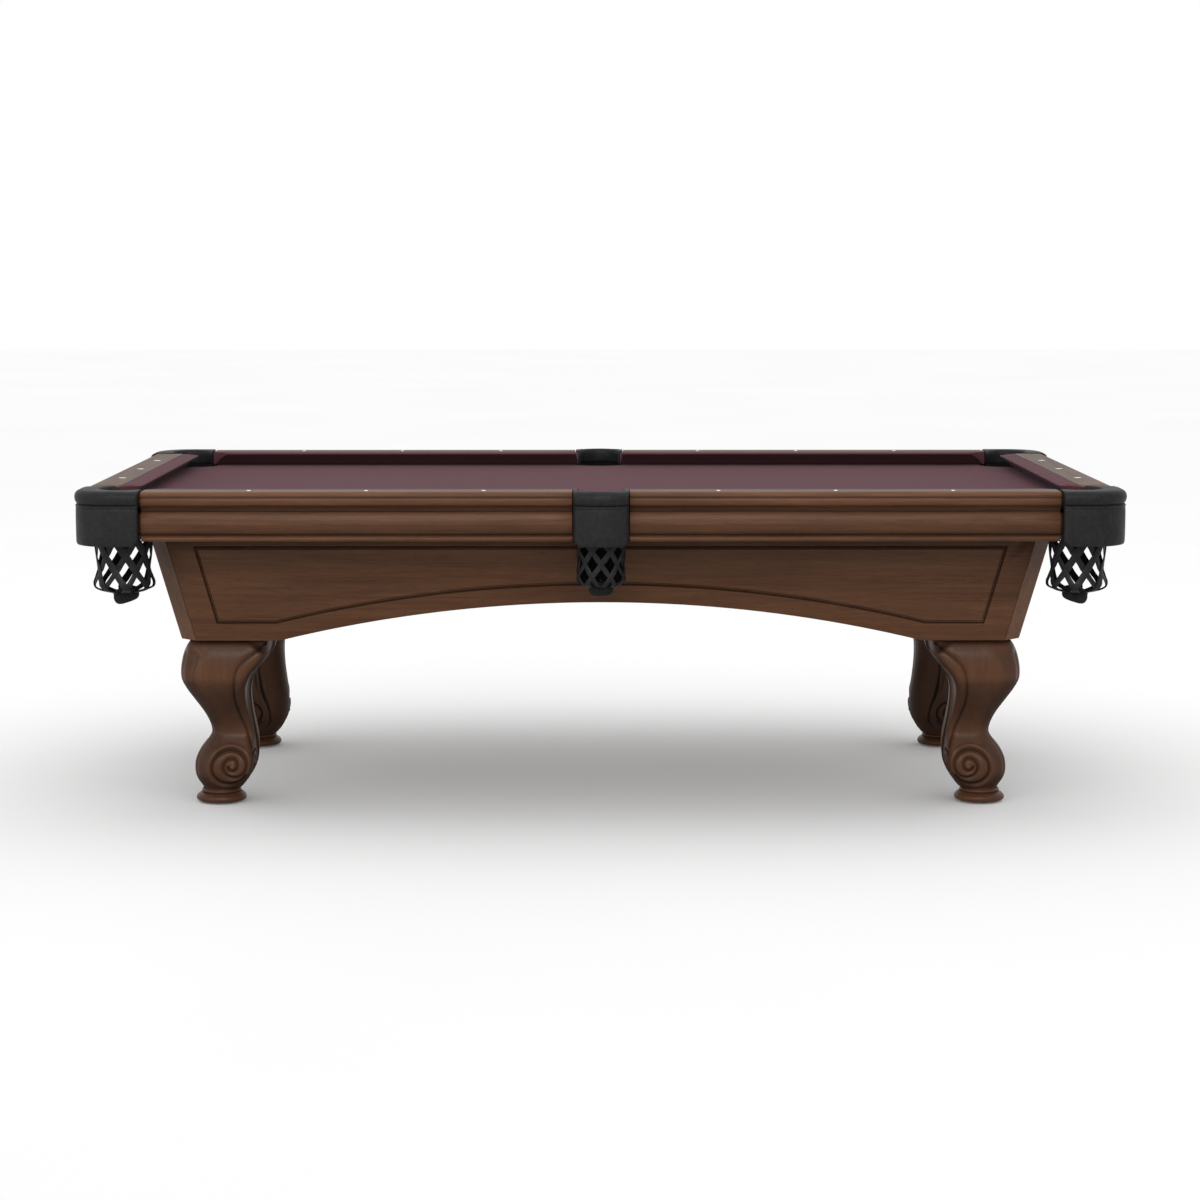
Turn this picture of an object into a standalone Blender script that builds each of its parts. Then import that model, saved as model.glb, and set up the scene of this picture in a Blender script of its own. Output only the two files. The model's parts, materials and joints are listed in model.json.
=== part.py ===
"""Eight-foot pool table with drop pockets, made of the pieces it comes apart into.

Metres, +Z up. The origin is on the floor under the middle of the table. X runs along the
table and Y across it, with the front at -Y and the left end at -X.
"""
import math

import bmesh
import bpy
from mathutils import Vector

GAP = 0.0003                     # clearance between pieces that touch
OVERCUT = 0.0100                 # how far a cutter passes the surface it cuts

# Playing area, measured between the cushion noses
NOSE_X = 1.1176
NOSE_Y = 0.5588

# Rails: a wood cap on the slate, a cushion inside it and a moulded blind below it
RAIL_TOP = 0.8010
RAIL_FACE = 0.1270               # cushion nose to the outer face of the rail
RAIL_WOOD = 0.0790               # width of the wood cap
RAIL_FACE_X = NOSE_X + RAIL_FACE
RAIL_FACE_Y = NOSE_Y + RAIL_FACE
LIP_RADIUS = 0.0090              # rounded upper edge of the cap
LIP_BOTTOM = 0.7730
COVE_DEPTH = 0.0150
RAIL_BOTTOM = 0.7555
SLATE_REBATE = 0.0480            # inset at which the cap steps up over the slate
BLIND_BOTTOM = 0.6820
BLIND_BEAD_TOP = 0.6980
BLIND_THICKNESS = 0.0360
BLIND_BULGE = 0.0160
BEAD_BULGE = 0.0080

# Bed
CLOTH_TOP = 0.7640
CLOTH_THICKNESS = 0.0010
SLATE_THICKNESS = 0.0250
SLATE_TOP = CLOTH_TOP - CLOTH_THICKNESS - GAP
SLATE_BOTTOM = SLATE_TOP - SLATE_THICKNESS
SLATE_X = 1.1940
SLATE_Y = 0.6350
SLATE_JOINT_X = 0.3980

# Cushions, cut at an angle where they meet the pockets
CUSHION_DEPTH = RAIL_FACE - RAIL_WOOD - 2 * GAP
CUSHION_TOP = 0.8005
# (depth behind the nose, height) from the flat top round the nose to the sub-rail
CUSHION_NOSE = (
    (0.0045, 0.7999), (0.0010, 0.7983), (0.0, 0.7965), (0.0030, 0.7925), (0.0360, 0.7700),
)
CORNER_NOSE_CUT = 0.0680         # nose corner to the end of the cushion nose
CORNER_BACK_CUT = 0.0264         # the same at the back of the cushion
SIDE_NOSE_CUT = 0.0655
SIDE_BACK_CUT = 0.0590

# Pocket castings
CORNER_OFFSET = 0.0294           # nose corner to pocket centre, along X and along Y
CORNER_X = NOSE_X + CORNER_OFFSET
CORNER_Y = NOSE_Y + CORNER_OFFSET
CORNER_HOLE = 0.0535
CORNER_ROUND = 0.1000            # plan radius of the casting's outer corner
HORN_CUT = 0.0220                # nose corner to the end face of the casting
SIDE_POCKET_Y = 0.6300
SIDE_HOLE = 0.0565
SIDE_HALF_WIDTH = 0.0662
SIDE_SAGITTA = 0.0220            # bow of a side casting's front
CASTING_PROUD = 0.0120           # corner skirts outside the rail faces
SIDE_PROUD = 0.0080              # the ends of a side skirt outside the rail face
CASTING_TOP = 0.8030
CASTING_BOTTOM = 0.6710
BAND_BOTTOM = 0.7680
BAND_STEP = 0.0020               # height of the step from the skirt out to the band
BAND_PROUD = 0.0030
BAND_ROUND = 0.0060              # height and width of the rounded upper edge
BAND_CROWN = 0.0100
RIM_BOTTOM = CLOTH_TOP + 0.0010
SKIRT_THICKNESS = 0.0100
CUT_REACH = 0.0500               # length by which cutters run past a skirt's open side
CLIP = 0.0130                    # clipped lower corners of the skirt
CORNER_NOTCH = 0.0700            # slate cut-outs
SIDE_NOTCH = 0.0665

# Pocket nets: (height, outer radius) from the rim to the gathered knob
NET_WALL = 0.0030
NET_FLOOR = 0.0080
CORNER_NET = (
    (RIM_BOTTOM - 2 * GAP, 0.0545), (0.7150, 0.0640), (0.6700, 0.0670), (0.6100, 0.0625),
    (0.5800, 0.0710), (0.5620, 0.0620), (0.5540, 0.0310),
)
CORNER_KNOB = ((0.5470, 0.0250), (0.5360, 0.0290), (0.5270, 0.0180))
SIDE_NET = (
    (RIM_BOTTOM - 2 * GAP, 0.0600), (0.7150, 0.0595), (0.6700, 0.0585), (0.6300, 0.0545),
    (0.6050, 0.0580), (0.5850, 0.0530), (0.5740, 0.0310),
)
SIDE_KNOB = ((0.5670, 0.0250), (0.5560, 0.0280), (0.5470, 0.0180))

# Cabinet
CABINET_BOTTOM = 0.4160
CABINET_TOP = SLATE_BOTTOM - GAP
CABINET_X = 1.0350               # half-length and half-width at the bottom edge
CABINET_Y = 0.4760
WALL_SLOPE = 0.2420              # outward lean of the walls
APRON_THICKNESS = 0.0230
CHAMFER = 0.0420                 # corner posts, as cut back along X and along Y
CORNER_BLOCK = 0.0850            # reach of the glue block behind each post
ARCH_HALF_SPAN = 0.7900
ARCH_RISE = 0.0980
END_ARCH_HALF_SPAN = 0.2300
END_ARCH_RISE = 0.0450

# Frame under the slate
BEAM_BOTTOM = 0.6400
BEAM_THICKNESS = 0.0400
SIDE_BEAM_Y = 0.4630
SIDE_BEAM_HALF_LENGTH = 1.0030
END_BEAM_X = 1.0160
END_BEAM_HALF_LENGTH = 0.4500
CROSS_BEAM_HALF_WIDTH = 0.0500
CENTER_BEAM_HALF_WIDTH = 0.0350

# Legs, whose sections shift along the outward diagonal of the corner they stand under
LEG_X = 0.9490
LEG_Y = 0.3900
LEG_TOP = CABINET_BOTTOM - GAP
FOOT_BOTTOM = 0.0040
# (height, reach outward from the foot axis, reach inward, squareness of the section)
LEG_BODY = (
    (LEG_TOP, 0.0660, 0.1350, 10), (0.3900, 0.0800, 0.1345, 10),
    (0.3600, 0.0900, 0.1180, 3.5), (0.3300, 0.0915, 0.0915, 3.5),
    (0.2950, 0.0800, 0.0770, 3.5), (0.2450, 0.0500, 0.0775, 3.5),
    (0.2000, 0.0270, 0.0835, 3.5), (0.1700, 0.0240, 0.0885, 3.5),
    (0.1370, 0.0470, 0.0911, 3.5), (0.0950, 0.0620, 0.0870, 3.5),
    (0.0600, 0.0560, 0.0720, 2.6), (0.0400, 0.0460, 0.0560, 2.6),
)
# (height, radius) of the turned foot
FOOT = (
    (0.0340, 0.0450), (0.0290, 0.0490), (0.0250, 0.0500), (0.0215, 0.0570),
    (0.0150, 0.0620), (0.0090, 0.0620), (FOOT_BOTTOM, 0.0570),
)

# Levelers: a disc on a threaded stem that screws into the foot
LEVELER_RADIUS = 0.0300
LEVELER_HEIGHT = FOOT_BOTTOM - GAP
STEM_RADIUS = 0.0060
STEM_TOP = 0.0450
BORE_RADIUS = 0.0066
BORE_TOP = 0.0500

ARC_STEPS = 10
ROUND_STEPS = 32

CORNERS = {
    "front_left": (-1, -1), "front_right": (1, -1),
    "back_left": (-1, 1), "back_right": (1, 1),
}
ENDS = {"left": -1, "right": 1}
SIDES = {"front": -1, "back": 1}


# ---------------------------------------------------------------- helpers

def clear_scene():
    for obj in list(bpy.data.objects):
        bpy.data.objects.remove(obj, do_unlink=True)


def make_material(name, color, roughness, metallic=0.0):
    material = bpy.data.materials.new(name)
    material.use_nodes = True
    shader = material.node_tree.nodes["Principled BSDF"]
    shader.inputs["Base Color"].default_value = (*color, 1.0)
    shader.inputs["Roughness"].default_value = roughness
    shader.inputs["Metallic"].default_value = metallic
    return material


def add_object(name, bm, material=None, smooth=False):
    """Turn a bmesh into a named object with its faces pointing out."""
    bmesh.ops.recalc_face_normals(bm, faces=bm.faces)
    mesh = bpy.data.meshes.new(name)
    bm.to_mesh(mesh)
    bm.free()
    if material:
        mesh.materials.append(material)
    if smooth:
        mesh.shade_smooth()
        mesh.set_sharp_from_angle(angle=math.radians(35))
    obj = bpy.data.objects.new(name, mesh)
    bpy.context.collection.objects.link(obj)
    return obj


def arc(center, radii, start, end, steps=ARC_STEPS):
    """Points on an ellipse, from one angle to another in degrees, both ends included."""
    points = []
    for step in range(steps + 1):
        angle = math.radians(start + (end - start) * step / steps)
        points.append((center[0] + radii[0] * math.cos(angle),
                       center[1] + radii[1] * math.sin(angle)))
    return points


def prism(outline, bottom, top, mirror=(1, 1)):
    """An upright prism on a plan outline."""
    bm = bmesh.new()
    verts = [bm.verts.new((x * mirror[0], y * mirror[1], bottom)) for x, y in outline]
    face = bm.faces.new(verts)
    extruded = bmesh.ops.extrude_face_region(bm, geom=[face])
    moved = [item for item in extruded["geom"] if isinstance(item, bmesh.types.BMVert)]
    bmesh.ops.translate(bm, verts=moved, vec=(0, 0, top - bottom))
    return bm


def loft(rings):
    """A closed body through rings of matching points, capped at both ends."""
    bm = bmesh.new()
    loops = [[bm.verts.new(point) for point in ring] for ring in rings]
    count = len(loops[0])
    for lower, upper in zip(loops, loops[1:]):
        for i in range(count):
            j = (i + 1) % count
            bm.faces.new((lower[i], lower[j], upper[j], upper[i]))
    bm.faces.new(loops[0])
    bm.faces.new(loops[-1])
    return bm


def turned(profile, center, steps):
    """A turned body from a (height, radius) profile that starts and ends on its axis."""
    bm = bmesh.new()
    verts = [bm.verts.new((center[0] + radius, center[1], height)) for height, radius in profile]
    edges = [bm.edges.new(pair) for pair in zip(verts, verts[1:])]
    bmesh.ops.spin(bm, geom=verts + edges, cent=(*center, 0), axis=(0, 0, 1),
                   angle=math.tau, steps=steps, use_merge=True)
    bmesh.ops.remove_doubles(bm, verts=bm.verts, dist=0.00005)
    return bm


def cut(obj, name, bm):
    """Subtract a closed bmesh from an object."""
    cutter = add_object(name, bm)
    cutter.hide_render = True
    cutter.display_type = "WIRE"
    modifier = obj.modifiers.new(name, "BOOLEAN")
    modifier.operation = "DIFFERENCE"
    modifier.solver = "EXACT"
    modifier.object = cutter


def along_x(side):
    """Place a rail section that runs along X on the front or back of the table."""
    return lambda along, inset, z: (along, side * (RAIL_FACE_Y - inset), z)


def along_y(end):
    """Place a rail section that runs along Y at the left or right end of the table."""
    return lambda along, inset, z: (end * (RAIL_FACE_X - inset), along, z)


def run_section(section, ends, place):
    """Extrude an (inset, height) section between two ends that may depend on the inset."""
    rings = []
    for end in ends:
        rings.append([place(end(inset), inset, z) for inset, z in section])
    return loft(rings)


# ---------------------------------------------------------------- rails

def rail_section():
    lip = arc((LIP_RADIUS, RAIL_TOP - LIP_RADIUS), (LIP_RADIUS, LIP_RADIUS), 90, 180, 4)
    cove = arc((0.0, RAIL_BOTTOM), (COVE_DEPTH, LIP_BOTTOM - RAIL_BOTTOM), 75, 0, 4)
    return [(RAIL_WOOD, RAIL_TOP)] + lip + [(0.0, LIP_BOTTOM)] + cove + [
        (SLATE_REBATE, RAIL_BOTTOM),
        (SLATE_REBATE, CLOTH_TOP + GAP),
        (RAIL_WOOD, CLOTH_TOP + GAP),
    ]


def blind_section():
    top = RAIL_BOTTOM - GAP
    torus_radius = (top - BLIND_BEAD_TOP) / 2
    bead_radius = (BLIND_BEAD_TOP - BLIND_BOTTOM) / 2
    torus = arc((BLIND_BULGE, top - torus_radius), (BLIND_BULGE, torus_radius), 90, 270, 8)
    bead = arc((BLIND_BULGE, BLIND_BOTTOM + bead_radius), (BEAD_BULGE, bead_radius), 90, 270, 6)
    return [(BLIND_THICKNESS, top)] + torus + bead[1:] + [(BLIND_THICKNESS, BLIND_BOTTOM)]


def cushion_section():
    """A triangular cushion, with its insets measured from the rail face like the cap's."""
    outline = ((CUSHION_DEPTH, CUSHION_TOP), *CUSHION_NOSE, (CUSHION_DEPTH, CLOTH_TOP + 2 * GAP))
    return [(RAIL_FACE - depth, z) for depth, z in outline]


def angled_end(direction, nose, back):
    """An end that slants from the cushion's nose to its back."""
    def end(inset):
        depth = (RAIL_FACE - inset) / CUSHION_DEPTH
        return direction * (nose + (back - nose) * depth)
    return end


def square_end(direction, distance):
    return lambda inset: direction * distance


def build_rails(wood, cloth):
    wood_start = SIDE_HALF_WIDTH + 2 * GAP
    wood_end_x = NOSE_X - HORN_CUT - 2 * GAP
    wood_end_y = NOSE_Y - HORN_CUT - 2 * GAP
    runs = []
    for name, (end, side) in CORNERS.items():
        runs.append((name, along_x(side),
                     (square_end(end, wood_start), square_end(end, wood_end_x)),
                     (angled_end(end, SIDE_NOSE_CUT, SIDE_BACK_CUT),
                      angled_end(end, NOSE_X - CORNER_NOSE_CUT, NOSE_X - CORNER_BACK_CUT))))
    for name, end in ENDS.items():
        runs.append((name, along_y(end),
                     (square_end(-1, wood_end_y), square_end(1, wood_end_y)),
                     (angled_end(-1, NOSE_Y - CORNER_NOSE_CUT, NOSE_Y - CORNER_BACK_CUT),
                      angled_end(1, NOSE_Y - CORNER_NOSE_CUT, NOSE_Y - CORNER_BACK_CUT))))
    for name, place, wood_ends, cushion_ends in runs:
        add_object("rail_" + name, run_section(rail_section(), wood_ends, place), wood, True)
        add_object("blind_" + name, run_section(blind_section(), wood_ends, place), wood, True)
        add_object("cushion_" + name, run_section(cushion_section(), cushion_ends, place), cloth)


# ---------------------------------------------------------------- pockets

def casting_levels():
    """(height, distance outside the skirt) of the casting's outer surface, bottom to top."""
    crown = arc((BAND_PROUD - BAND_CROWN, CASTING_TOP - BAND_ROUND), (BAND_CROWN, BAND_ROUND),
                0, 90, 2)
    levels = [(CASTING_BOTTOM, 0.0), (BAND_BOTTOM - BAND_STEP, 0.0), (BAND_BOTTOM, BAND_PROUD)]
    return levels + [(height, grow) for grow, height in crown]


def corner_outline(grow, inner_x, inner_y, start_x, start_y):
    """Plan of a corner casting in the +X +Y quadrant, its rounded corner grown by a margin."""
    face_x = RAIL_FACE_X + CASTING_PROUD + grow
    face_y = RAIL_FACE_Y + CASTING_PROUD + grow
    radius = CORNER_ROUND + grow
    round_corner = arc((face_x - radius, face_y - radius), (radius, radius), 0, 90)
    outline = [(face_x, start_y)] + round_corner + [(start_x, face_y), (start_x, inner_y)]
    if inner_x > start_x:
        outline += [(inner_x, inner_y), (inner_x, start_y)]
    return outline


def build_corner_casting(name, mirror, leather):
    horn_x = NOSE_X - HORN_CUT
    horn_y = NOSE_Y - HORN_CUT
    inner_x = RAIL_FACE_X - RAIL_WOOD + GAP
    inner_y = RAIL_FACE_Y - RAIL_WOOD + GAP
    rings = []
    for height, grow in casting_levels():
        outline = corner_outline(grow, inner_x, inner_y, horn_x, horn_y)
        rings.append([(x * mirror[0], y * mirror[1], height) for x, y in outline])
    casting = add_object("pocket_iron_" + name, loft(rings), leather, True)
    hole = arc((CORNER_X, CORNER_Y), (CORNER_HOLE, CORNER_HOLE), 0, 360, ROUND_STEPS)[:-1]
    below = CASTING_BOTTOM - OVERCUT
    cut(casting, "hole_" + name, prism(hole, below, CASTING_TOP + OVERCUT, mirror))
    low_x = horn_x - CUT_REACH
    low_y = horn_y - CUT_REACH
    cavity = corner_outline(-SKIRT_THICKNESS, low_x, low_y, low_x, low_y)
    cut(casting, "cavity_" + name, prism(cavity, below, RIM_BOTTOM, mirror))
    cut(casting, "clip_x_" + name, clip_wedge(horn_x, RAIL_FACE_Y, 0, mirror))
    cut(casting, "clip_y_" + name, clip_wedge(horn_y, RAIL_FACE_X, 1, mirror))


def clip_wedge(edge, face, axis, mirror, inward=1):
    """A triangular bar that clips the skirt's lower corner at the edge given along an axis."""
    outside = edge - inward * OVERCUT
    section = ((outside, CASTING_BOTTOM - OVERCUT),
               (edge + inward * (CLIP + OVERCUT), CASTING_BOTTOM - OVERCUT),
               (outside, CASTING_BOTTOM + CLIP + OVERCUT))
    rings = []
    for depth in (face - CUT_REACH, face + CUT_REACH):
        ring = []
        for along, height in section:
            x, y = (depth, along) if axis else (along, depth)
            ring.append((x * mirror[0], y * mirror[1], height))
        rings.append(ring)
    return loft(rings)


def side_front(half_width, sagitta, edge_y):
    """The bowed front of a side casting, from +X to -X."""
    radius = (half_width ** 2 + sagitta ** 2) / (2 * sagitta)
    reach = math.degrees(math.asin(half_width / radius))
    return arc((0.0, edge_y + sagitta - radius), (radius, radius), 90 - reach, 90 + reach)


def build_side_casting(name, side, leather):
    mirror = (1, side)
    inner_y = RAIL_FACE_Y - RAIL_WOOD + GAP
    edge_y = RAIL_FACE_Y + SIDE_PROUD
    rings = []
    for height, grow in casting_levels():
        outline = side_front(SIDE_HALF_WIDTH, SIDE_SAGITTA, edge_y + grow) + [
            (-SIDE_HALF_WIDTH, inner_y), (SIDE_HALF_WIDTH, inner_y)]
        rings.append([(x, y * side, height) for x, y in outline])
    casting = add_object("pocket_iron_" + name, loft(rings), leather, True)
    hole = arc((0.0, SIDE_POCKET_Y), (SIDE_HOLE, SIDE_HOLE), 0, 360, ROUND_STEPS)[:-1]
    below = CASTING_BOTTOM - OVERCUT
    cut(casting, "hole_" + name, prism(hole, below, CASTING_TOP + OVERCUT, mirror))
    wide = SIDE_HALF_WIDTH + OVERCUT
    bow = SIDE_SAGITTA * (wide / SIDE_HALF_WIDTH) ** 2
    cavity = side_front(wide, bow, edge_y + SIDE_SAGITTA - bow - SKIRT_THICKNESS)
    cavity = cavity + [(-wide, inner_y - CUT_REACH), (wide, inner_y - CUT_REACH)]
    cut(casting, "cavity_" + name, prism(cavity, below, RIM_BOTTOM, mirror))
    for label, direction in (("left", 1), ("right", -1)):
        wedge = clip_wedge(-direction * SIDE_HALF_WIDTH, RAIL_FACE_Y, 0, mirror, direction)
        cut(casting, "clip_" + label + "_" + name, wedge)


def build_net(name, center, body, knob, leather):
    """A thin cup, open at the top, whose floor ends in a solid gathered knob."""
    outside = list(body) + list(knob) + [(knob[-1][0], 0.0)]
    floor = body[-1][0] + NET_FLOOR
    inside = [(height, radius - NET_WALL) for height, radius in body[:-1]]
    inside[-1] = (floor, inside[-1][1] - NET_FLOOR)
    profile = [(floor, 0.0)] + inside[::-1] + outside
    add_object("pocket_net_" + name, turned(profile, center, 16), leather, True)


def build_pockets(leather):
    for name, (end, side) in CORNERS.items():
        build_corner_casting(name, (end, side), leather)
        build_net(name, (end * CORNER_X, side * CORNER_Y), CORNER_NET, CORNER_KNOB, leather)
    for name, side in SIDES.items():
        build_side_casting(name, side, leather)
        build_net(name, (0.0, side * SIDE_POCKET_Y), SIDE_NET, SIDE_KNOB, leather)


# ---------------------------------------------------------------- bed

def corner_notch(end, side, radius):
    """Slate corner cut back around the pocket, from the end edge to the long edge."""
    notch = []
    low = -math.degrees(math.acos((SLATE_X - CORNER_X) / radius))
    high = -180 - math.degrees(math.asin((SLATE_Y - CORNER_Y) / radius))
    for x, y in arc((CORNER_X, CORNER_Y), (radius, radius), low, high, 14):
        notch.append((end * x, side * y))
    return notch


def side_notch(side, radius):
    """Half-round cut for a side pocket, from +X to -X."""
    dip = math.degrees(math.asin((SLATE_Y - SIDE_POCKET_Y) / radius))
    notch = []
    for x, y in arc((0.0, SIDE_POCKET_Y), (radius, radius), dip, -180 - dip, 16):
        notch.append((x, side * y))
    return notch


def end_slate_outline(end):
    """One end slate: its outer corners cut back, its inner edge on the slate joint."""
    front = corner_notch(end, -1, CORNER_NOTCH)
    back = corner_notch(end, 1, CORNER_NOTCH)
    joint = end * (SLATE_JOINT_X + GAP)
    return [(joint, SLATE_Y)] + back[::-1] + front + [(joint, -SLATE_Y)]


def middle_slate_outline():
    joint = SLATE_JOINT_X - GAP
    back = side_notch(1, SIDE_NOTCH)
    front = side_notch(-1, SIDE_NOTCH)
    return [(joint, SLATE_Y)] + back + [(-joint, SLATE_Y), (-joint, -SLATE_Y)] + front[::-1] + [
        (joint, -SLATE_Y)]


def bed_outline():
    right = corner_notch(1, 1, CORNER_NOTCH)[::-1] + corner_notch(1, -1, CORNER_NOTCH)
    left = corner_notch(-1, -1, CORNER_NOTCH)[::-1] + corner_notch(-1, 1, CORNER_NOTCH)
    return (right + side_notch(-1, SIDE_NOTCH) + left + side_notch(1, SIDE_NOTCH)[::-1])


def build_bed(slate, cloth):
    for name, end in ENDS.items():
        add_object("slate_" + name, prism(end_slate_outline(end), SLATE_BOTTOM, SLATE_TOP), slate)
    add_object("slate_middle", prism(middle_slate_outline(), SLATE_BOTTOM, SLATE_TOP), slate)
    add_object("bed_cloth", prism(bed_outline(), CLOTH_TOP - CLOTH_THICKNESS, CLOTH_TOP), cloth)


# ---------------------------------------------------------------- cabinet

def wall_x(z):
    return CABINET_X + WALL_SLOPE * (z - CABINET_BOTTOM)


def wall_y(z):
    return CABINET_Y + WALL_SLOPE * (z - CABINET_BOTTOM)


def apron_outline(wall, half_span, rise):
    """(along, height) outline of an apron, with the arch cut from its lower edge."""
    radius = (half_span ** 2 + rise ** 2) / (2 * rise)
    reach = math.degrees(math.asin(half_span / radius))
    arch = arc((0.0, CABINET_BOTTOM + rise - radius), (radius, radius), 90 + reach, 90 - reach, 28)
    edge = CHAMFER + 2 * GAP
    low = wall(CABINET_BOTTOM) - edge
    high = wall(CABINET_TOP) - edge
    return [(-low, CABINET_BOTTOM)] + arch + [
        (low, CABINET_BOTTOM), (high, CABINET_TOP), (-high, CABINET_TOP)]


def build_aprons(wood):
    for name, side in SIDES.items():
        outline = apron_outline(wall_x, ARCH_HALF_SPAN, ARCH_RISE)
        rings = [[(x, side * (wall_y(z) - inset), z) for x, z in outline]
                 for inset in (0.0, APRON_THICKNESS)]
        add_object("apron_" + name, loft(rings), wood)
    for name, end in ENDS.items():
        outline = apron_outline(wall_y, END_ARCH_HALF_SPAN, END_ARCH_RISE)
        rings = [[(end * (wall_x(z) - inset), y, z) for y, z in outline]
                 for inset in (0.0, APRON_THICKNESS)]
        add_object("apron_" + name, loft(rings), wood)


def build_posts(wood):
    """Chamfered corner posts, each with a glue block behind the ends of two aprons."""
    inside = APRON_THICKNESS + 2 * GAP
    plan = ((CHAMFER, 0.0), (0.0, CHAMFER), (inside, CHAMFER), (inside, CORNER_BLOCK),
            (CORNER_BLOCK, inside), (CHAMFER, inside))
    for name, (end, side) in CORNERS.items():
        rings = []
        for z in (CABINET_BOTTOM, CABINET_TOP):
            rings.append([(end * (wall_x(z) - dx), side * (wall_y(z) - dy), z)
                          for dx, dy in plan])
        add_object("post_" + name, loft(rings), wood)


def box(low, high):
    outline = ((low[0], low[1]), (high[0], low[1]), (high[0], high[1]), (low[0], high[1]))
    return prism(outline, low[2], high[2])


def build_frame(wood):
    top = CABINET_TOP
    for name, side in SIDES.items():
        near, far = sorted((side * SIDE_BEAM_Y, side * (SIDE_BEAM_Y + BEAM_THICKNESS)))
        low = (-SIDE_BEAM_HALF_LENGTH, near, BEAM_BOTTOM)
        add_object("side_beam_" + name, box(low, (SIDE_BEAM_HALF_LENGTH, far, top)), wood)
    for name, end in ENDS.items():
        near, far = sorted((end * END_BEAM_X, end * (END_BEAM_X + BEAM_THICKNESS)))
        low = (near, -END_BEAM_HALF_LENGTH, BEAM_BOTTOM)
        add_object("end_beam_" + name, box(low, (far, END_BEAM_HALF_LENGTH, top)), wood)
        middle = end * SLATE_JOINT_X
        reach = SIDE_BEAM_Y - GAP
        low = (middle - CROSS_BEAM_HALF_WIDTH, -reach, BEAM_BOTTOM)
        high = (middle + CROSS_BEAM_HALF_WIDTH, reach, top)
        add_object("cross_beam_" + name, box(low, high), wood)
    reach = SLATE_JOINT_X - CROSS_BEAM_HALF_WIDTH - GAP
    low = (-reach, -CENTER_BEAM_HALF_WIDTH, BEAM_BOTTOM)
    add_object("center_beam", box(low, (reach, CENTER_BEAM_HALF_WIDTH, top)), wood)


# ---------------------------------------------------------------- legs

def leg_ring(z, outward, inward, power, mirror, steps=20):
    """A superellipse section between the outward and inward reach: 2 is round, 8 is square."""
    middle = (outward - inward) / 2
    half = (outward + inward) / 2
    ring = []
    for step in range(steps):
        angle = math.tau * (step + 0.5) / steps
        x = math.copysign(abs(math.cos(angle)) ** (2 / power), math.cos(angle))
        y = math.copysign(abs(math.sin(angle)) ** (2 / power), math.sin(angle))
        ring.append((mirror[0] * (LEG_X + middle + half * x),
                     mirror[1] * (LEG_Y + middle + half * y), z))
    return ring


def build_legs(wood, steel):
    for name, mirror in CORNERS.items():
        rings = []
        for z, outward, inward, squareness in LEG_BODY:
            rings.append(leg_ring(z, outward, inward, squareness, mirror))
        for z, radius in FOOT:
            rings.append(leg_ring(z, radius, radius, 2, mirror))
        leg = add_object("leg_" + name, loft(rings), wood, True)
        center = (LEG_X, LEG_Y)
        bore = arc(center, (BORE_RADIUS, BORE_RADIUS), 0, 360, 16)[:-1]
        cut(leg, "bore_" + name, prism(bore, FOOT_BOTTOM - OVERCUT, BORE_TOP, mirror))
        profile = ((0.0, 0.0), (0.0, LEVELER_RADIUS), (LEVELER_HEIGHT, LEVELER_RADIUS),
                   (LEVELER_HEIGHT, STEM_RADIUS), (STEM_TOP, STEM_RADIUS), (STEM_TOP, 0.0))
        leveler = add_object("leveler_" + name, turned(profile, (0.0, 0.0), 20), steel, True)
        leveler.location = Vector((mirror[0] * LEG_X, mirror[1] * LEG_Y, 0.0))


def main():
    clear_scene()
    walnut = make_material("walnut", (0.085, 0.042, 0.022), 0.42)
    leather = make_material("black_leather", (0.012, 0.012, 0.013), 0.48)
    cloth = make_material("wine_cloth", (0.130, 0.052, 0.066), 0.95)
    slate = make_material("slate_stone", (0.120, 0.125, 0.130), 0.70)
    poplar = make_material("frame_wood", (0.420, 0.300, 0.180), 0.65)
    steel = make_material("zinc_steel", (0.450, 0.450, 0.460), 0.35, 1.0)
    build_rails(walnut, cloth)
    build_pockets(leather)
    build_bed(slate, cloth)
    build_aprons(walnut)
    build_posts(walnut)
    build_frame(poplar)
    build_legs(walnut, steel)


main()
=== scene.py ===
"""Looks for the pool table: carved legs, moulded rails, leather pockets, cloth, floor and light.

Metres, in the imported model's frame: X along the table, Y across it with the front at -Y, +Z up.
"""
import json
import math

import bmesh
import bpy
import numpy as np
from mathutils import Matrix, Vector
from mathutils.geometry import delaunay_2d_cdt

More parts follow.
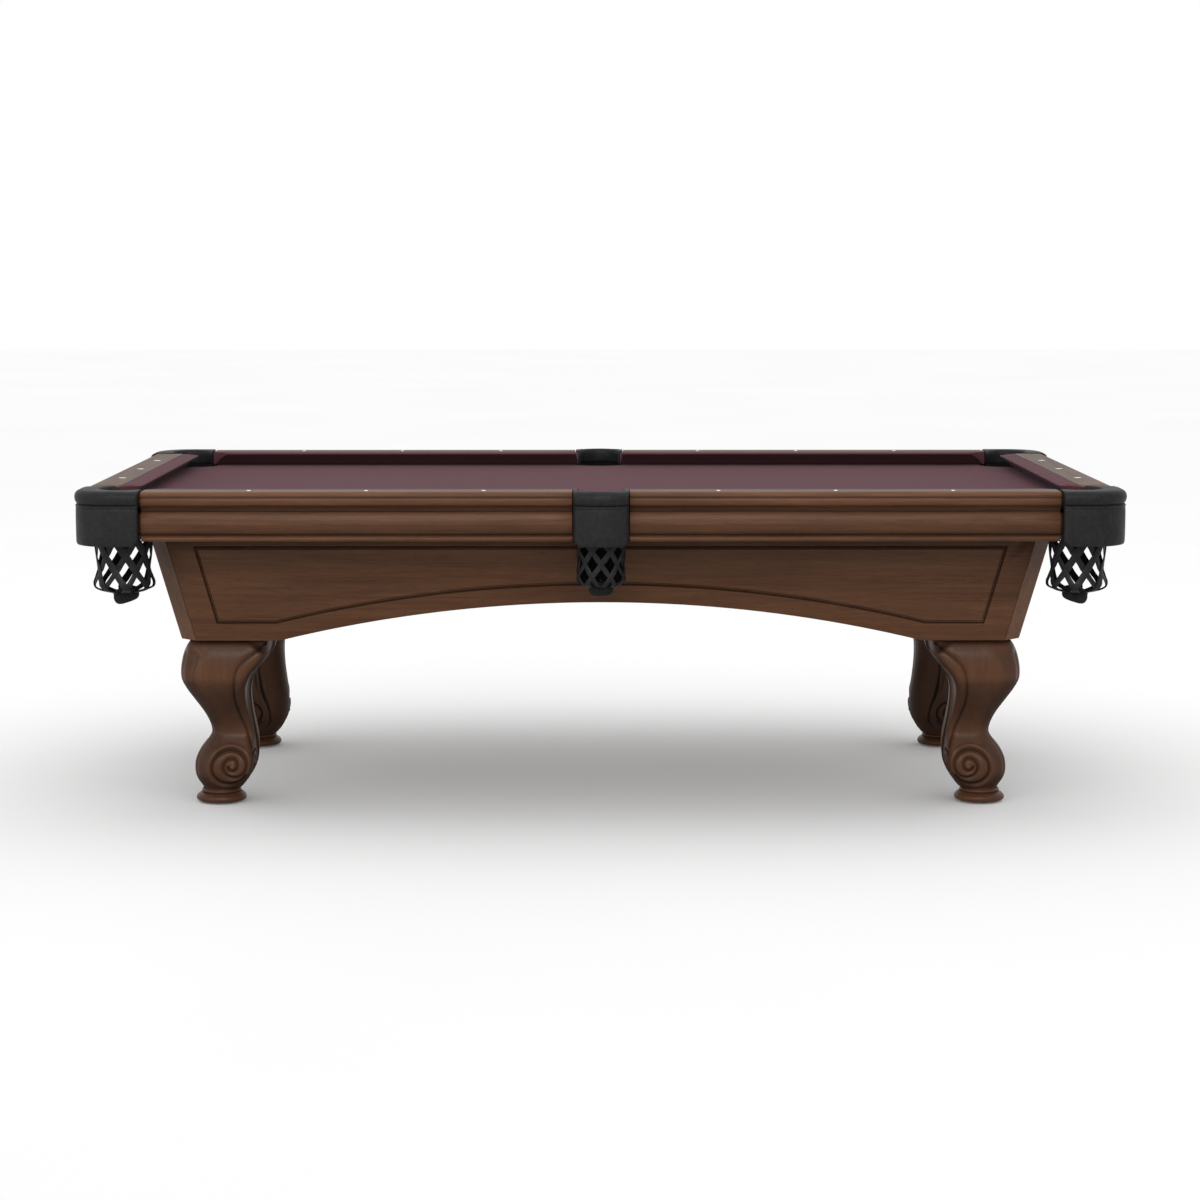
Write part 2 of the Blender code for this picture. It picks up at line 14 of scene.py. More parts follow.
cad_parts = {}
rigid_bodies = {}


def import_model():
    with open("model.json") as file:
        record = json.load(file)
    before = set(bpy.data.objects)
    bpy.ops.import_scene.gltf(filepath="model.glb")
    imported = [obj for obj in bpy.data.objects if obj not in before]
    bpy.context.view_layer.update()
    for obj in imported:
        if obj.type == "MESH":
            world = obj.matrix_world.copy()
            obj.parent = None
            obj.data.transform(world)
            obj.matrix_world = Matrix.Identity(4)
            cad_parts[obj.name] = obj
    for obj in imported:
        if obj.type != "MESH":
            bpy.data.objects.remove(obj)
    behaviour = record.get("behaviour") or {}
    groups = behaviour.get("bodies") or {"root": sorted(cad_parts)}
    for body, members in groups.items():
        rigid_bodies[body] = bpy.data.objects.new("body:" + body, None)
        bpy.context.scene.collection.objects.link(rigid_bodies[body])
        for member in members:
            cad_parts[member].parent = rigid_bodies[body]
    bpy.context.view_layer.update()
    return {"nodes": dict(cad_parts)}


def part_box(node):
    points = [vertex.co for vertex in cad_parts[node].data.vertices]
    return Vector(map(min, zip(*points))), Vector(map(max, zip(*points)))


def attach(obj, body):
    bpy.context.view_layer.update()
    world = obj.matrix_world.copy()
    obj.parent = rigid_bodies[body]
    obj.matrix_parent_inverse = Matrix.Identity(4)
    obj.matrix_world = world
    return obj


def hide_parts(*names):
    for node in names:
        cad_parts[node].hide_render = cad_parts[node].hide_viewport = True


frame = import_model()

BODY = "table"
CORNERS = {
    "front_left": (-1, -1), "front_right": (1, -1),
    "back_left": (-1, 1), "back_right": (1, 1),
}
ENDS = {"left": -1, "right": 1}
SIDES = {"front": -1, "back": 1}


def reach(node, axis):
    """Largest distance of a node's box from the table's middle along an axis."""
    low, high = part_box(node)
    return max(abs(low[axis]), abs(high[axis]))


def nearest(node, axis):
    """Smallest distance of a node's box from the table's middle along an axis."""
    low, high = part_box(node)
    return min(abs(low[axis]), abs(high[axis]))


def center_of(node, axis):
    """Distance of a box's own middle from the table's middle along an axis."""
    return (reach(node, axis) + nearest(node, axis)) / 2


def levels_of(node):
    """Heights of the bottom and the top of a node's box."""
    low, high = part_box(node)
    return low.z, high.z


# Sizes read from the frame
NOSE_X = nearest("cushion_right", 0)
NOSE_Y = nearest("cushion_front_right", 1)
FACE_X = reach("rail_right", 0)
FACE_Y = reach("rail_front_right", 1)
RAIL_BOTTOM, RAIL_TOP = levels_of("rail_right")
BLIND_BOTTOM = levels_of("blind_right")[0]
WOOD_INNER = FACE_Y - nearest("rail_front_right", 1)
WOOD_START = nearest("rail_front_right", 0)
WOOD_END_X = reach("rail_front_right", 0)
WOOD_END_Y = reach("rail_right", 1)
CUSHION_LOW, CUSHION_TOP = levels_of("cushion_right")
BED_TOP = levels_of("bed_cloth")[1]
SLATE_X = reach("slate_right", 0)
SLATE_Y = reach("slate_right", 1)
CASTING_LOW, CASTING_TOP = levels_of("pocket_iron_front_left")
CORNER_X = center_of("pocket_net_front_right", 0)
CORNER_Y = center_of("pocket_net_front_right", 1)
SIDE_Y = center_of("pocket_net_front", 1)
CABINET_LOW, CABINET_TOP = levels_of("apron_front")
LEG_X = center_of("leveler_front_right", 0)
LEG_Y = center_of("leveler_front_right", 1)


# ---- mesh helpers

def mesh_object(name, verts, faces, material, replaces=(), slot=None, sharp=40.0, grain=None,
                painted_light=None):
    """A smooth piece made from points and faces, creased where it bends more than sharp degrees.

    grain is one vector per point, and the last list is painted light at each point:
    painted shade from 0 to 1, and a painted highlight below 0.
    """
    mesh = bpy.data.meshes.new(name)
    mesh.from_pydata([tuple(map(float, v)) for v in verts], [], [tuple(map(int, f)) for f in faces])
    mesh.validate()
    bm = bmesh.new()
    bm.from_mesh(mesh)
    bmesh.ops.recalc_face_normals(bm, faces=bm.faces)
    bm.to_mesh(mesh)
    bm.free()
    if grain is not None:
        attribute = mesh.attributes.new("grain", "FLOAT_VECTOR", "POINT")
        attribute.data.foreach_set("vector", np.asarray(grain, dtype=np.float32).ravel())
    if painted_light is not None:
        attribute = mesh.attributes.new("painted_light", "FLOAT", "POINT")
        attribute.data.foreach_set("value", np.asarray(painted_light, dtype=np.float32))
    mesh.shade_smooth()
    mesh.set_sharp_from_angle(angle=math.radians(sharp))
    mesh.materials.append(material)
    obj = bpy.data.objects.new(name, mesh)
    bpy.context.scene.collection.objects.link(obj)
    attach(obj, BODY)
    if replaces:
        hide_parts(*replaces)
    return obj


def tube_faces(rings, points, closed_along=False, capped=True):
    """Faces that join rings of matching points, each ring a closed loop."""
    faces = []
    for ring in range(rings if closed_along else rings - 1):
        following = (ring + 1) % rings
        for i in range(points):
            j = (i + 1) % points
            faces.append((ring * points + i, ring * points + j,
                          following * points + j, following * points + i))
    if capped and not closed_along:
        faces.append(tuple(range(points)))
        faces.append(tuple(range((rings - 1) * points, rings * points)))
    return faces


def metres(table):
    """A table of millimetres as an array of metres."""
    return np.asarray(table, dtype=float) / 1000


def line(start, end, count):
    """Points spaced evenly from start up to, but not on, end."""
    return np.linspace(start, end, count, endpoint=False).tolist()


def arc(center, radii, start, end, steps):
    """Points on an ellipse between two angles in degrees, both ends included."""
    angles = np.radians(np.linspace(start, end, steps + 1))
    return [(center[0] + radii[0] * math.cos(a), center[1] + radii[1] * math.sin(a))
            for a in angles]


def unit(vectors):
    """Vectors along the last axis, made one long."""
    return vectors / np.linalg.norm(vectors, axis=-1, keepdims=True)


def smoothstep(low, high, value):
    """0 below low, 1 above high, and a smooth rise between them."""
    t = np.clip((value - low) / (high - low), 0.0, 1.0)
    return t * t * (3 - 2 * t)


def spline(points, samples):
    """Catmull-Rom curve through points, as an array of evenly stepped samples."""
    pts = np.asarray(points, dtype=float)
    padded = np.vstack([2 * pts[0] - pts[1], pts, 2 * pts[-1] - pts[-2]])
    out = []
    for t in np.linspace(0, len(pts) - 1, samples):
        k = min(int(t), len(pts) - 2)
        u = t - k
        a, b, c, d = padded[k:k + 4]
        out.append(0.5 * (2 * b + (c - a) * u + (2 * a - 5 * b + 4 * c - d) * u ** 2
                          + (3 * b - a - 3 * c + d) * u ** 3))
    return np.array(out)


# ---- materials

class Nodes:
    """Short calls for building one material's node tree."""

    def __init__(self, name):
        self.material = bpy.data.materials.new(name)
        self.material.use_nodes = True
        self.tree = self.material.node_tree
        self.shader = self.tree.nodes["Principled BSDF"]

    def add(self, kind, inputs=None, **settings):
        node = self.tree.nodes.new(kind)
        for key, value in settings.items():
            setattr(node, key, value)
        for key, value in (inputs or {}).items():
            if isinstance(value, bpy.types.NodeSocket):
                self.tree.links.new(value, node.inputs[key])
            else:
                node.inputs[key].default_value = value
        return node

    def feed(self, name, source):
        self.tree.links.new(source, self.shader.inputs[name])

    def fix(self, **values):
        for key, value in values.items():
            self.shader.inputs[key.replace("_", " ")].default_value = value

    def ramp(self, factor, stops):
        node = self.add("ShaderNodeValToRGB", {"Fac": factor})
        elements = node.color_ramp.elements
        while len(elements) < len(stops):
            elements.new(0.5)
        for element, (position, value) in zip(elements, stops):
            element.position = position
            element.color = (*value, 1.0)
        return node.outputs["Color"]

    def greys(self, factor, low, low_grey, high, high_grey):
        """A ramp between two greys at two positions of the factor."""
        return self.ramp(factor, [(low, grey(low_grey)), (high, grey(high_grey))])

    def place(self):
        return self.add("ShaderNodeTexCoord").outputs["Object"]

    def attribute(self, name, output):
        return self.add("ShaderNodeAttribute", attribute_name=name).outputs[output]

    def noise(self, vector, scale, detail=4.0, rough=0.55, distortion=0.0):
        node = self.add("ShaderNodeTexNoise", {
            "Vector": vector, "Scale": scale, "Detail": detail, "Roughness": rough,
            "Distortion": distortion})
        return node.outputs["Fac"]

    def stretched(self, vector, scale):
        node = self.add("ShaderNodeVectorMath", {0: vector, 1: scale}, operation="MULTIPLY")
        return node.outputs["Vector"]

    def math(self, operation, first, second=0.0):
        return self.add("ShaderNodeMath", {0: first, 1: second}, operation=operation).outputs[0]

    def multiply(self, factor, first, second):
        """The first colour darkened or lightened by the second, as far as the factor says."""
        node = self.add("ShaderNodeMix", {0: factor, 6: first, 7: second},
                        data_type="RGBA", blend_type="MULTIPLY")
        return node.outputs[2]

    def bump(self, layers):
        """Stack (height, strength, distance) layers into the shader's normal."""
        normal = None
        for height, strength, distance in layers:
            inputs = {"Height": height, "Strength": strength, "Distance": distance}
            if normal:
                inputs["Normal"] = normal
            normal = self.add("ShaderNodeBump", inputs).outputs["Normal"]
        self.feed("Normal", normal)


def grey(value):
    return (value, value, value)


def wood_material(name, dark, middle, light, roughness, coat, specular, pore_depth):
    """Stained wood whose grain runs along the first component of the grain attribute."""
    n = Nodes(name)
    grain = n.attribute("grain", "Vector")
    painted_light = n.attribute("painted_light", "Fac")
    wander = n.noise(n.stretched(grain, (1.6, 5.0, 5.0)), 1.0, 3.0, 0.5)
    figure = n.noise(n.stretched(grain, (2.2, 26.0, 26.0)), 1.0, 5.0, 0.6, 0.6)
    streaks = n.noise(n.stretched(grain, (4.5, 130.0, 130.0)), 1.0, 5.0, 0.68, 0.25)
    pores = n.noise(n.stretched(grain, (26.0, 900.0, 900.0)), 1.0, 2.0, 0.5)
    tone = n.math("ADD", n.math("MULTIPLY", figure, 0.46), n.math("MULTIPLY", streaks, 0.54))
    color = n.ramp(tone, [(0.3, dark), (0.5, middle), (0.72, light)])
    drift = n.greys(wander, 0.35, 0.8, 0.65, 1.12)
    color = n.multiply(0.85, color, drift)
    specks = n.greys(pores, 0.36, 0.62, 0.46, 1.0)
    color = n.multiply(pore_depth, color, specks)
    # Painted light: the attribute darkens the stain as painted shade, and lightens it as a painted
    # highlight below 0
    painted_light_factor = n.math("SUBTRACT", 1.0, n.math("MULTIPLY", painted_light, 0.76))
    color = n.multiply(1.0, color, painted_light_factor)
    n.feed("Base Color", color)
    polish = n.greys(tone, 0.25, roughness + 0.07, 0.75, roughness - 0.05)
    hollows = n.math("MAXIMUM", n.math("MULTIPLY", painted_light, 0.55), 0.0)
    n.feed("Roughness", n.math("MINIMUM", n.math("ADD", polish, hollows), 1.0))
    n.fix(Coat_Weight=coat, Coat_Roughness=0.3, Specular_IOR_Level=specular)
    n.bump([(streaks, 0.1, 0.0006), (pores, 0.16, 0.0003)])
    return n.material


def leather_material():
    """Black grained leather, duller and darker where painted shade is laid on it."""
    n = Nodes("black_leather")
    place = n.place()
    leather_painted_shade = n.attribute("painted_light", "Fac")
    folds = n.noise(place, 22.0, 3.0, 0.5)
    mottle = n.noise(place, 90.0, 4.0, 0.6)
    cells = n.add("ShaderNodeTexVoronoi", {
        "Vector": place, "Scale": 620.0, "Randomness": 0.9}, feature="DISTANCE_TO_EDGE")
    fine = n.noise(place, 1500.0, 2.0, 0.6)
    color = n.ramp(mottle, [(0.3, (0.007, 0.007, 0.0074)), (0.7, (0.013, 0.0128, 0.013))])
    shade = n.math("SUBTRACT", 1.0, n.math("MULTIPLY", leather_painted_shade, 0.85))
    n.feed("Base Color", n.multiply(1.0, color, shade))
    gloss = n.greys(folds, 0.3, 0.44, 0.7, 0.56)
    n.feed("Roughness", n.math("ADD", gloss, n.math("MULTIPLY", leather_painted_shade, 0.4)))
    n.fix(Specular_IOR_Level=0.12)
    n.bump([(folds, 0.06, 0.004), (cells.outputs["Distance"], 0.22, 0.0005), (fine, 0.08, 0.0002)])
    return n.material


def cloth_material():
    """Worsted billiard cloth: a fine twill under a short nap."""
    n = Nodes("wine_cloth")
    place = n.place()
    clouds = n.noise(place, 3.0, 3.0, 0.5)
    fibres = n.noise(n.stretched(place, (700.0, 1400.0, 900.0)), 1.0, 3.0, 0.7)
    flecks = n.noise(place, 420.0, 2.0, 0.6)
    wave = n.add("ShaderNodeTexWave", {
        "Vector": place, "Scale": 260.0, "Distortion": 1.2, "Detail": 2.0, "Detail Scale": 2.0},
        wave_type="BANDS", bands_direction="DIAGONAL")
    weave = wave.outputs["Fac"]
    color = n.ramp(fibres, [(0.3, (0.039, 0.0128, 0.017)), (0.7, (0.066, 0.0232, 0.029))])
    color = n.multiply(0.5, color, n.greys(clouds, 0.3, 0.93, 0.7, 1.05))
    color = n.multiply(0.35, color, n.greys(flecks, 0.35, 0.82, 0.65, 1.15))
    n.feed("Base Color", color)
    n.fix(Roughness=0.92, Specular_IOR_Level=0.08, Sheen_Weight=0.08, Sheen_Roughness=0.5,
          Sheen_Tint=(0.8, 0.55, 0.62, 1.0))
    n.bump([(weave, 0.12, 0.0003), (fibres, 0.22, 0.0004)])
    return n.material


def slate_material():
    n = Nodes("honed_slate")
    place = n.place()
    beds = n.noise(n.stretched(place, (3.0, 6.0, 60.0)), 1.0, 6.0, 0.6, 0.4)
    dust = n.noise(place, 260.0, 4.0, 0.7)
    color = n.ramp(beds, [(0.3, (0.075, 0.082, 0.09)), (0.7, (0.14, 0.148, 0.156))])
    color = n.multiply(0.4, color, n.greys(dust, 0.3, 0.75, 0.7, 1.2))
    n.feed("Base Color", color)
    n.feed("Roughness", n.greys(dust, 0.3, 0.58, 0.7, 0.74))
    n.bump([(beds, 0.2, 0.0012), (dust, 0.15, 0.0004)])
    return n.material


def bare_wood_material():
    """Unstained frame lumber, its figure broad in plan and close-set in height."""
    n = Nodes("bare_poplar")
    place = n.place()
    figure = n.noise(n.stretched(place, (9.0, 9.0, 40.0)), 1.0, 5.0, 0.6, 1.2)
    lines = n.noise(n.stretched(place, (30.0, 30.0, 420.0)), 1.0, 3.0, 0.6)
    color = n.ramp(figure, [(0.3, (0.3, 0.2, 0.11)), (0.55, (0.43, 0.31, 0.18)),
                            (0.8, (0.52, 0.4, 0.25))])
    color = n.multiply(0.5, color, n.greys(lines, 0.35, 0.82, 0.6, 1.05))
    n.feed("Base Color", color)
    n.feed("Roughness", n.greys(lines, 0.3, 0.72, 0.7, 0.6))
    n.bump([(lines, 0.2, 0.0005)])
    return n.material


def steel_material():
    n = Nodes("zinc_plate")
    place = n.place()
    spangle = n.noise(place, 180.0, 3.0, 0.6)
    rub = n.noise(n.stretched(place, (900.0, 900.0, 60.0)), 1.0, 2.0, 0.5)
    n.feed("Base Color", n.ramp(spangle, [(0.3, (0.36, 0.37, 0.39)), (0.7, (0.52, 0.52, 0.51))]))
    n.feed("Roughness", n.greys(rub, 0.3, 0.28, 0.7, 0.44))
    n.fix(Metallic=1.0)
    n.bump([(rub, 0.08, 0.0002)])
    return n.material


def sight_material():
    """Pearl-white inlay."""
    n = Nodes("pearl_sight")
    place = n.place()
    swirl = n.noise(place, 160.0, 3.0, 0.5, 1.5)
    n.feed("Base Color", n.ramp(swirl, [(0.3, (0.72, 0.7, 0.66)), (0.6, (0.88, 0.87, 0.84)),
                                        (0.8, (0.8, 0.84, 0.84))]))
    n.feed("Roughness", n.greys(swirl, 0.3, 0.16, 0.7, 0.26))
    n.fix(Coat_Weight=0.5, Coat_Roughness=0.08)
    return n.material


def floor_material():
    n = Nodes("studio_floor")
    place = n.place()
    soft = n.noise(place, 0.6, 2.0, 0.5)
    n.feed("Base Color", n.greys(soft, 0.3, 0.9, 0.7, 0.92))
    n.fix(Roughness=0.9, Specular_IOR_Level=0.0, Emission_Color=(1.0, 1.0, 1.0, 1.0),
          Emission_Strength=0.06)
    return n.material


WALNUT = wood_material("walnut_stain", (0.042, 0.0158, 0.0064), (0.068, 0.0278, 0.0118),
                       (0.092, 0.04, 0.018), 0.46, 0.03, 0.14, 0.7)
CARVED = wood_material("walnut_carved", (0.042, 0.0166, 0.0072), (0.054, 0.0218, 0.0098),
                       (0.066, 0.0274, 0.0126), 0.36, 0.0, 0.15, 0.3)
LEATHER = leather_material()
CLOTH = cloth_material()
SLATE = slate_material()
POPLAR = bare_wood_material()
STEEL = steel_material()
PEARL = sight_material()


def grain_of(points, axis, seed):
    """Grain coordinates: along the grain first, moved by an amount of its own for each piece."""
    points = np.asarray(points, dtype=float)
    order = {"x": (0, 1, 2), "y": (1, 0, 2), "z": (2, 0, 1)}[axis]
    shift = np.array([7.31 * seed, 3.17 * seed, 5.73 * seed]) % 11.0
    return points[:, order] + shift


# ---- rails

def with_painted_light(points, first, last=None):
    """Add a painted light value to each point of a section, running from the first to the last:
    painted shade above 0, a painted highlight below 0.
    """
    last = first if last is None else last
    values = np.linspace(first, last, len(points))
    return [(inset, z, painted_light) for (inset, z), painted_light in zip(points, values)]


def rail_section():
    """(inset from the rail face, height, painted light) round the wood cap: lip, round, cove,
    rebate.
    """
    top = RAIL_TOP
    bottom = RAIL_BOTTOM
    inner = WOOD_INNER
    bed = BED_TOP + 0.0003
    lip = ((0.0112, top - 0.0108), (0.0112, 0.0108))
    points = with_painted_light([(inner - 0.0012, top - 0.0003), (inner - 0.006, top), (0.014, top)], 0.0)
    # Painted light down the section: a painted highlight on the lip's rounded front fading into
    # painted shade below it, a faint highlight on the round, and painted shade on the step, the
    # lower curve and the underside
    points += with_painted_light(arc(*lip, 90, 132, 5), -0.45, -0.62)
    points += with_painted_light(arc(*lip, 139, 176, 5), -0.45, 0.3)
    points += with_painted_light([(0.0005, top - 0.0122), (0.001, top - 0.0132)], 0.16, 0.05)
    points += with_painted_light(arc((0.0058, top - 0.0228), (0.0056, 0.01), 118, 258, 14), -0.09, -0.05)
    points += with_painted_light([(0.0062, top - 0.0334), (0.0076, top - 0.034)], 0.25)
    points += with_painted_light(arc((0.004, bottom - 0.0005), (0.0112, 0.012), 66, 4, 8), 0.12, 0.62)
    points += with_painted_light([(0.015, bottom), (0.048, bottom), (0.048, bed), (inner, bed),
                       (inner, top - 0.0016)], 0.3)
    return points


def blind_section():
    """(inset from the rail face, height, painted light) of the big half-round and the bead under
    it.
    """
    top = RAIL_BOTTOM - 0.0003
    low = BLIND_BOTTOM
    bead_top = low + 0.0152
    half = (top - bead_top) / 2
    bead = (bead_top - low - 0.0018) / 2
    bulge = ((0.0162, top - half), (0.016, half - 0.0008))
    # Painted shade under the rail, down the half-round's lower side, above the bead and underneath;
    # a faint painted highlight on the half-round's front and on the bead
    points = with_painted_light([(0.036, top), (0.015, top), (0.0132, top - 0.0006)], 0.8)
    points += with_painted_light(arc(*bulge, 96, 117, 3), 0.55, 0.12)
    points += with_painted_light(arc(*bulge, 124, 180, 8), 0.04, -0.06)
    points += with_painted_light(arc(*bulge, 187, 264, 11), 0.16, 0.42)
    points += with_painted_light([(0.0136, bead_top + 0.0004), (0.0136, bead_top - 0.0012)], 0.7)
    points += with_painted_light(arc((0.015, low + bead), (0.0098, bead), 98, 270, 12), -0.08)
    points += with_painted_light([(0.018, low), (0.036, low)], 0.4)
    return points


def cushion_section():
    """(depth from the nose, height) round a cloth-covered cushion."""
    top = CUSHION_TOP
    low = CUSHION_LOW
    back = FACE_Y - WOOD_INNER - NOSE_Y - 0.0006
    nose = top - 0.0036
    points = [(back - 0.0008, top - 0.0006), (back - 0.004, top - 0.0001)]
    for step in range(1, 8):
        t = step / 8
        depth = back - 0.004 - t * (back - 0.0105)
        points.append((depth, top - 0.0001 - 0.001 * t * t))
    points += arc((0.0021, nose + 0.0004), (0.0021, 0.0021), 80, 232, 8)
    points += [(0.009, nose - 0.0062), (0.024, nose - 0.015), (0.037, low + 0.004),
               (0.044, low + 0.0006), (back - 0.002, low), (back, low + 0.0015),
               (back, top - 0.0024)]
    return points


TENON_SHRINK = 0.005


def run(name, section, ends, place, material, easing, replaces, slot, axis, seed, tenons=None,
        **kinds):
    """Extrude a section between two ends, easing its end edges over by a small radius.

    Tenons are smaller ends that run on to the pocket castings.
    """
    painted_light = [point[2] for point in section]
    section = np.array([point[:2] for point in section])
    middle = (section.min(axis=0) + section.max(axis=0)) / 2
    size = section.max(axis=0) - section.min(axis=0)
    start, end = ends
    stops = [(0.0, easing), (0.3 * easing, 0.45 * easing), (easing, 0.0)]
    stations = [("start", out, shrink) for out, shrink in stops]
    stations += [("mid", t, 0.0) for t in np.linspace(0.06, 0.94, 12)]
    stations += [("end", out, shrink) for out, shrink in stops[::-1]]
    if tenons:
        tip = TENON_SHRINK + 0.0005
        stations = [("start", -tenons[0], tip), ("start", 0.0, TENON_SHRINK)] + stations
        stations += [("end", 0.0, TENON_SHRINK), ("end", -tenons[1], tip)]
    verts = []
    for kind, amount, shrink in stations:
        scale = 1 - 2 * shrink / size
        ring = middle + (section - middle) * scale
        for (inset, z), own_inset in zip(ring, section[:, 0]):
            a = start(own_inset)
            b = end(own_inset)
            way = 1 if b > a else -1
            if kind == "start":
                along = a + way * amount
            elif kind == "end":
                along = b - way * amount
            else:
                along = a + way * easing + (b - a - 2 * way * easing) * amount
            verts.append(place(along, inset, z))
    faces = tube_faces(len(stations), len(section))
    shade = np.tile(painted_light, len(stations))
    # The tenons get painted shade, so the gap between rail and casting reads dark
    for row, station in enumerate(stations):
        if station[2] >= TENON_SHRINK:
            shade[row * len(section):(row + 1) * len(section)] = 0.9
    return mesh_object(name, verts, faces, material, replaces, slot,
                       grain=grain_of(verts, axis, seed), painted_light=shade, **kinds)


def place_x(side):
    """Place a section's points on the long rail of a side."""
    return lambda along, inset, z: (along, side * (FACE_Y - inset), z)


def place_y(end):
    """Place a section's points on the rail of an end."""
    return lambda along, inset, z: (end * (FACE_X - inset), along, z)


def fixed(value):
    """A square end of a run."""
    return lambda inset: value


def slanted(direction, nose, back):
    """A slanted end of a cushion, given where it meets the nose line and the rail."""
    depth = FACE_Y - WOOD_INNER - NOSE_Y
    full = FACE_Y - NOSE_Y
    return lambda inset: direction * (nose + (back - nose) * (full - inset) / depth)


def sight(name, x, y, along):
    """A domed diamond inlay in the rail top, longest across the rail it sits in."""
    half_length = 0.01
    half_width = 0.0054
    steps = 40
    rings = [(1.0, RAIL_TOP - 0.0006), (1.0, RAIL_TOP + 0.00005),
             (0.86, RAIL_TOP + 0.0004), (0.4, RAIL_TOP + 0.0007)]
    verts = []
    for scale, z in rings:
        for i in range(steps):
            angle = math.tau * i / steps
            across = math.copysign(abs(math.cos(angle)) ** 1.6, math.cos(angle))
            beside = math.copysign(abs(math.sin(angle)) ** 1.6, math.sin(angle))
            dx, dy = half_length * scale * across, half_width * scale * beside
            if along == "x":
                dx, dy = dy, dx
            verts.append((x + dx, y + dy, z))
    mesh_object(name, verts, tube_faces(len(rings), steps), PEARL, slot="sight")


def make_rails():
    gap = 0.005
    corner_nose = 0.068
    corner_back = 0.0264
    side_nose = 0.0655
    side_back = 0.059
    runs = []

    def corner_end(direction, nose):
        return slanted(direction, nose - corner_nose, nose - corner_back)

    for index, (name, (end, side)) in enumerate(CORNERS.items()):
        runs.append((name, "x", place_x(side), index,
                     (fixed(end * (WOOD_START + 0.0012)), fixed(end * (WOOD_END_X - gap))),
                     (slanted(end, side_nose, side_back), corner_end(end, NOSE_X))))
    for index, (name, end) in enumerate(ENDS.items()):
        runs.append((name, "y", place_y(end), index + 4,
                     (fixed(gap - WOOD_END_Y), fixed(WOOD_END_Y - gap)),
                     (corner_end(-1, NOSE_Y), corner_end(1, NOSE_Y))))
    full = FACE_Y - NOSE_Y
    nose_section = [(full - d, z, 0.0) for d, z in cushion_section()]
    for name, axis, place, seed, wood_ends, cushion_ends in runs:
        tenons = (0.0012 if axis == "x" else gap + 0.0002, gap + 0.0002)
        run("rail_cap_" + name, rail_section(), wood_ends, place, WALNUT, 0.0014,
            ["rail_" + name], "walnut", axis, seed + 1, tenons=tenons)
        run("blind_moulding_" + name, blind_section(), wood_ends, place, WALNUT, 0.0014,
            ["blind_" + name], "walnut", axis, seed + 11, tenons=tenons)
        cushion = run("cushion_cover_" + name, nose_section, cushion_ends, place, CLOTH, 0.0014,
                      ["cushion_" + name], "cloth", axis, seed, sharp=42.0)
    spacing = NOSE_X / 4
    inset = 0.0455
    for name, (end, side) in CORNERS.items():
        for step in (1, 2, 3):
            sight(f"sight_{name}_{step}", end * spacing * step, side * (FACE_Y - inset), "x")
    for name, end in ENDS.items():
        for step in (-1, 0, 1):
            sight(f"sight_{name}_{step + 2}", end * (FACE_X - inset), step * spacing, "y")


# ---- pocket castings

def casting_section():
    """Closed section of a casting: (base, offset, height).

    Base "hole" is measured into the leather from the hole's edge, "half" lies midway, and
    "skirt" is measured outwards from the skirt's face.
    """
    rim = BED_TOP + 0.001

    def rows(base, level, way, table):
        return [(base, offset, level + way * step) for offset, step in metres(table)]

    section = rows("hole", rim, 1, ((3.2, 0), (0.8, 2.2), (0, 6)))
    section += rows("hole", CASTING_TOP, -1, ((0, 12), (0.6, 7), (2.6, 3), (6, 0.8), (10.5, 0.1)))
    section += rows("half", CASTING_TOP, -1, ((0, 0.2),))
    section += rows("skirt", CASTING_TOP, -1, (
        (-15, 0.6), (-8.5, 1.9), (-3.5, 4.5), (0.3, 8.5), (2.2, 13), (2.9, 18), (2.4, 23.5),
        (0.9, 28.5), (-1.2, 32.2), (-4, 34), (-4, 34.6), (-1.4, 35.6), (0.2, 37), (0.9, 38.8),
        (0.4, 40.6), (-1, 41.8), (-0.4, 43.2), (0.2, 48), (0.7, 70)))
    section += rows("skirt", CASTING_LOW, 1, (
        (0.7, 25), (0.3, 7.5), (-0.6, 3), (-2.2, 0.6), (-4.4, 0), (-6.4, 1), (-7.8, 3.5),
        (-8.4, 8)))
    section += rows("skirt", rim, -1, ((-8.8, 6), (-11, 0)))
    return section


# Where the skirt starts to stretch, and how its ends are cut short, curled in and lowered
SKIRT_TOP_DROP = 0.044
CLIP_LENGTH = 0.0135
CURL_LENGTH = 0.0095
CURL_DEPTH = 0.0062
END_DROP = 0.0024
# The skirt's face lies this far inside the casting's box
SWELL = 0.003


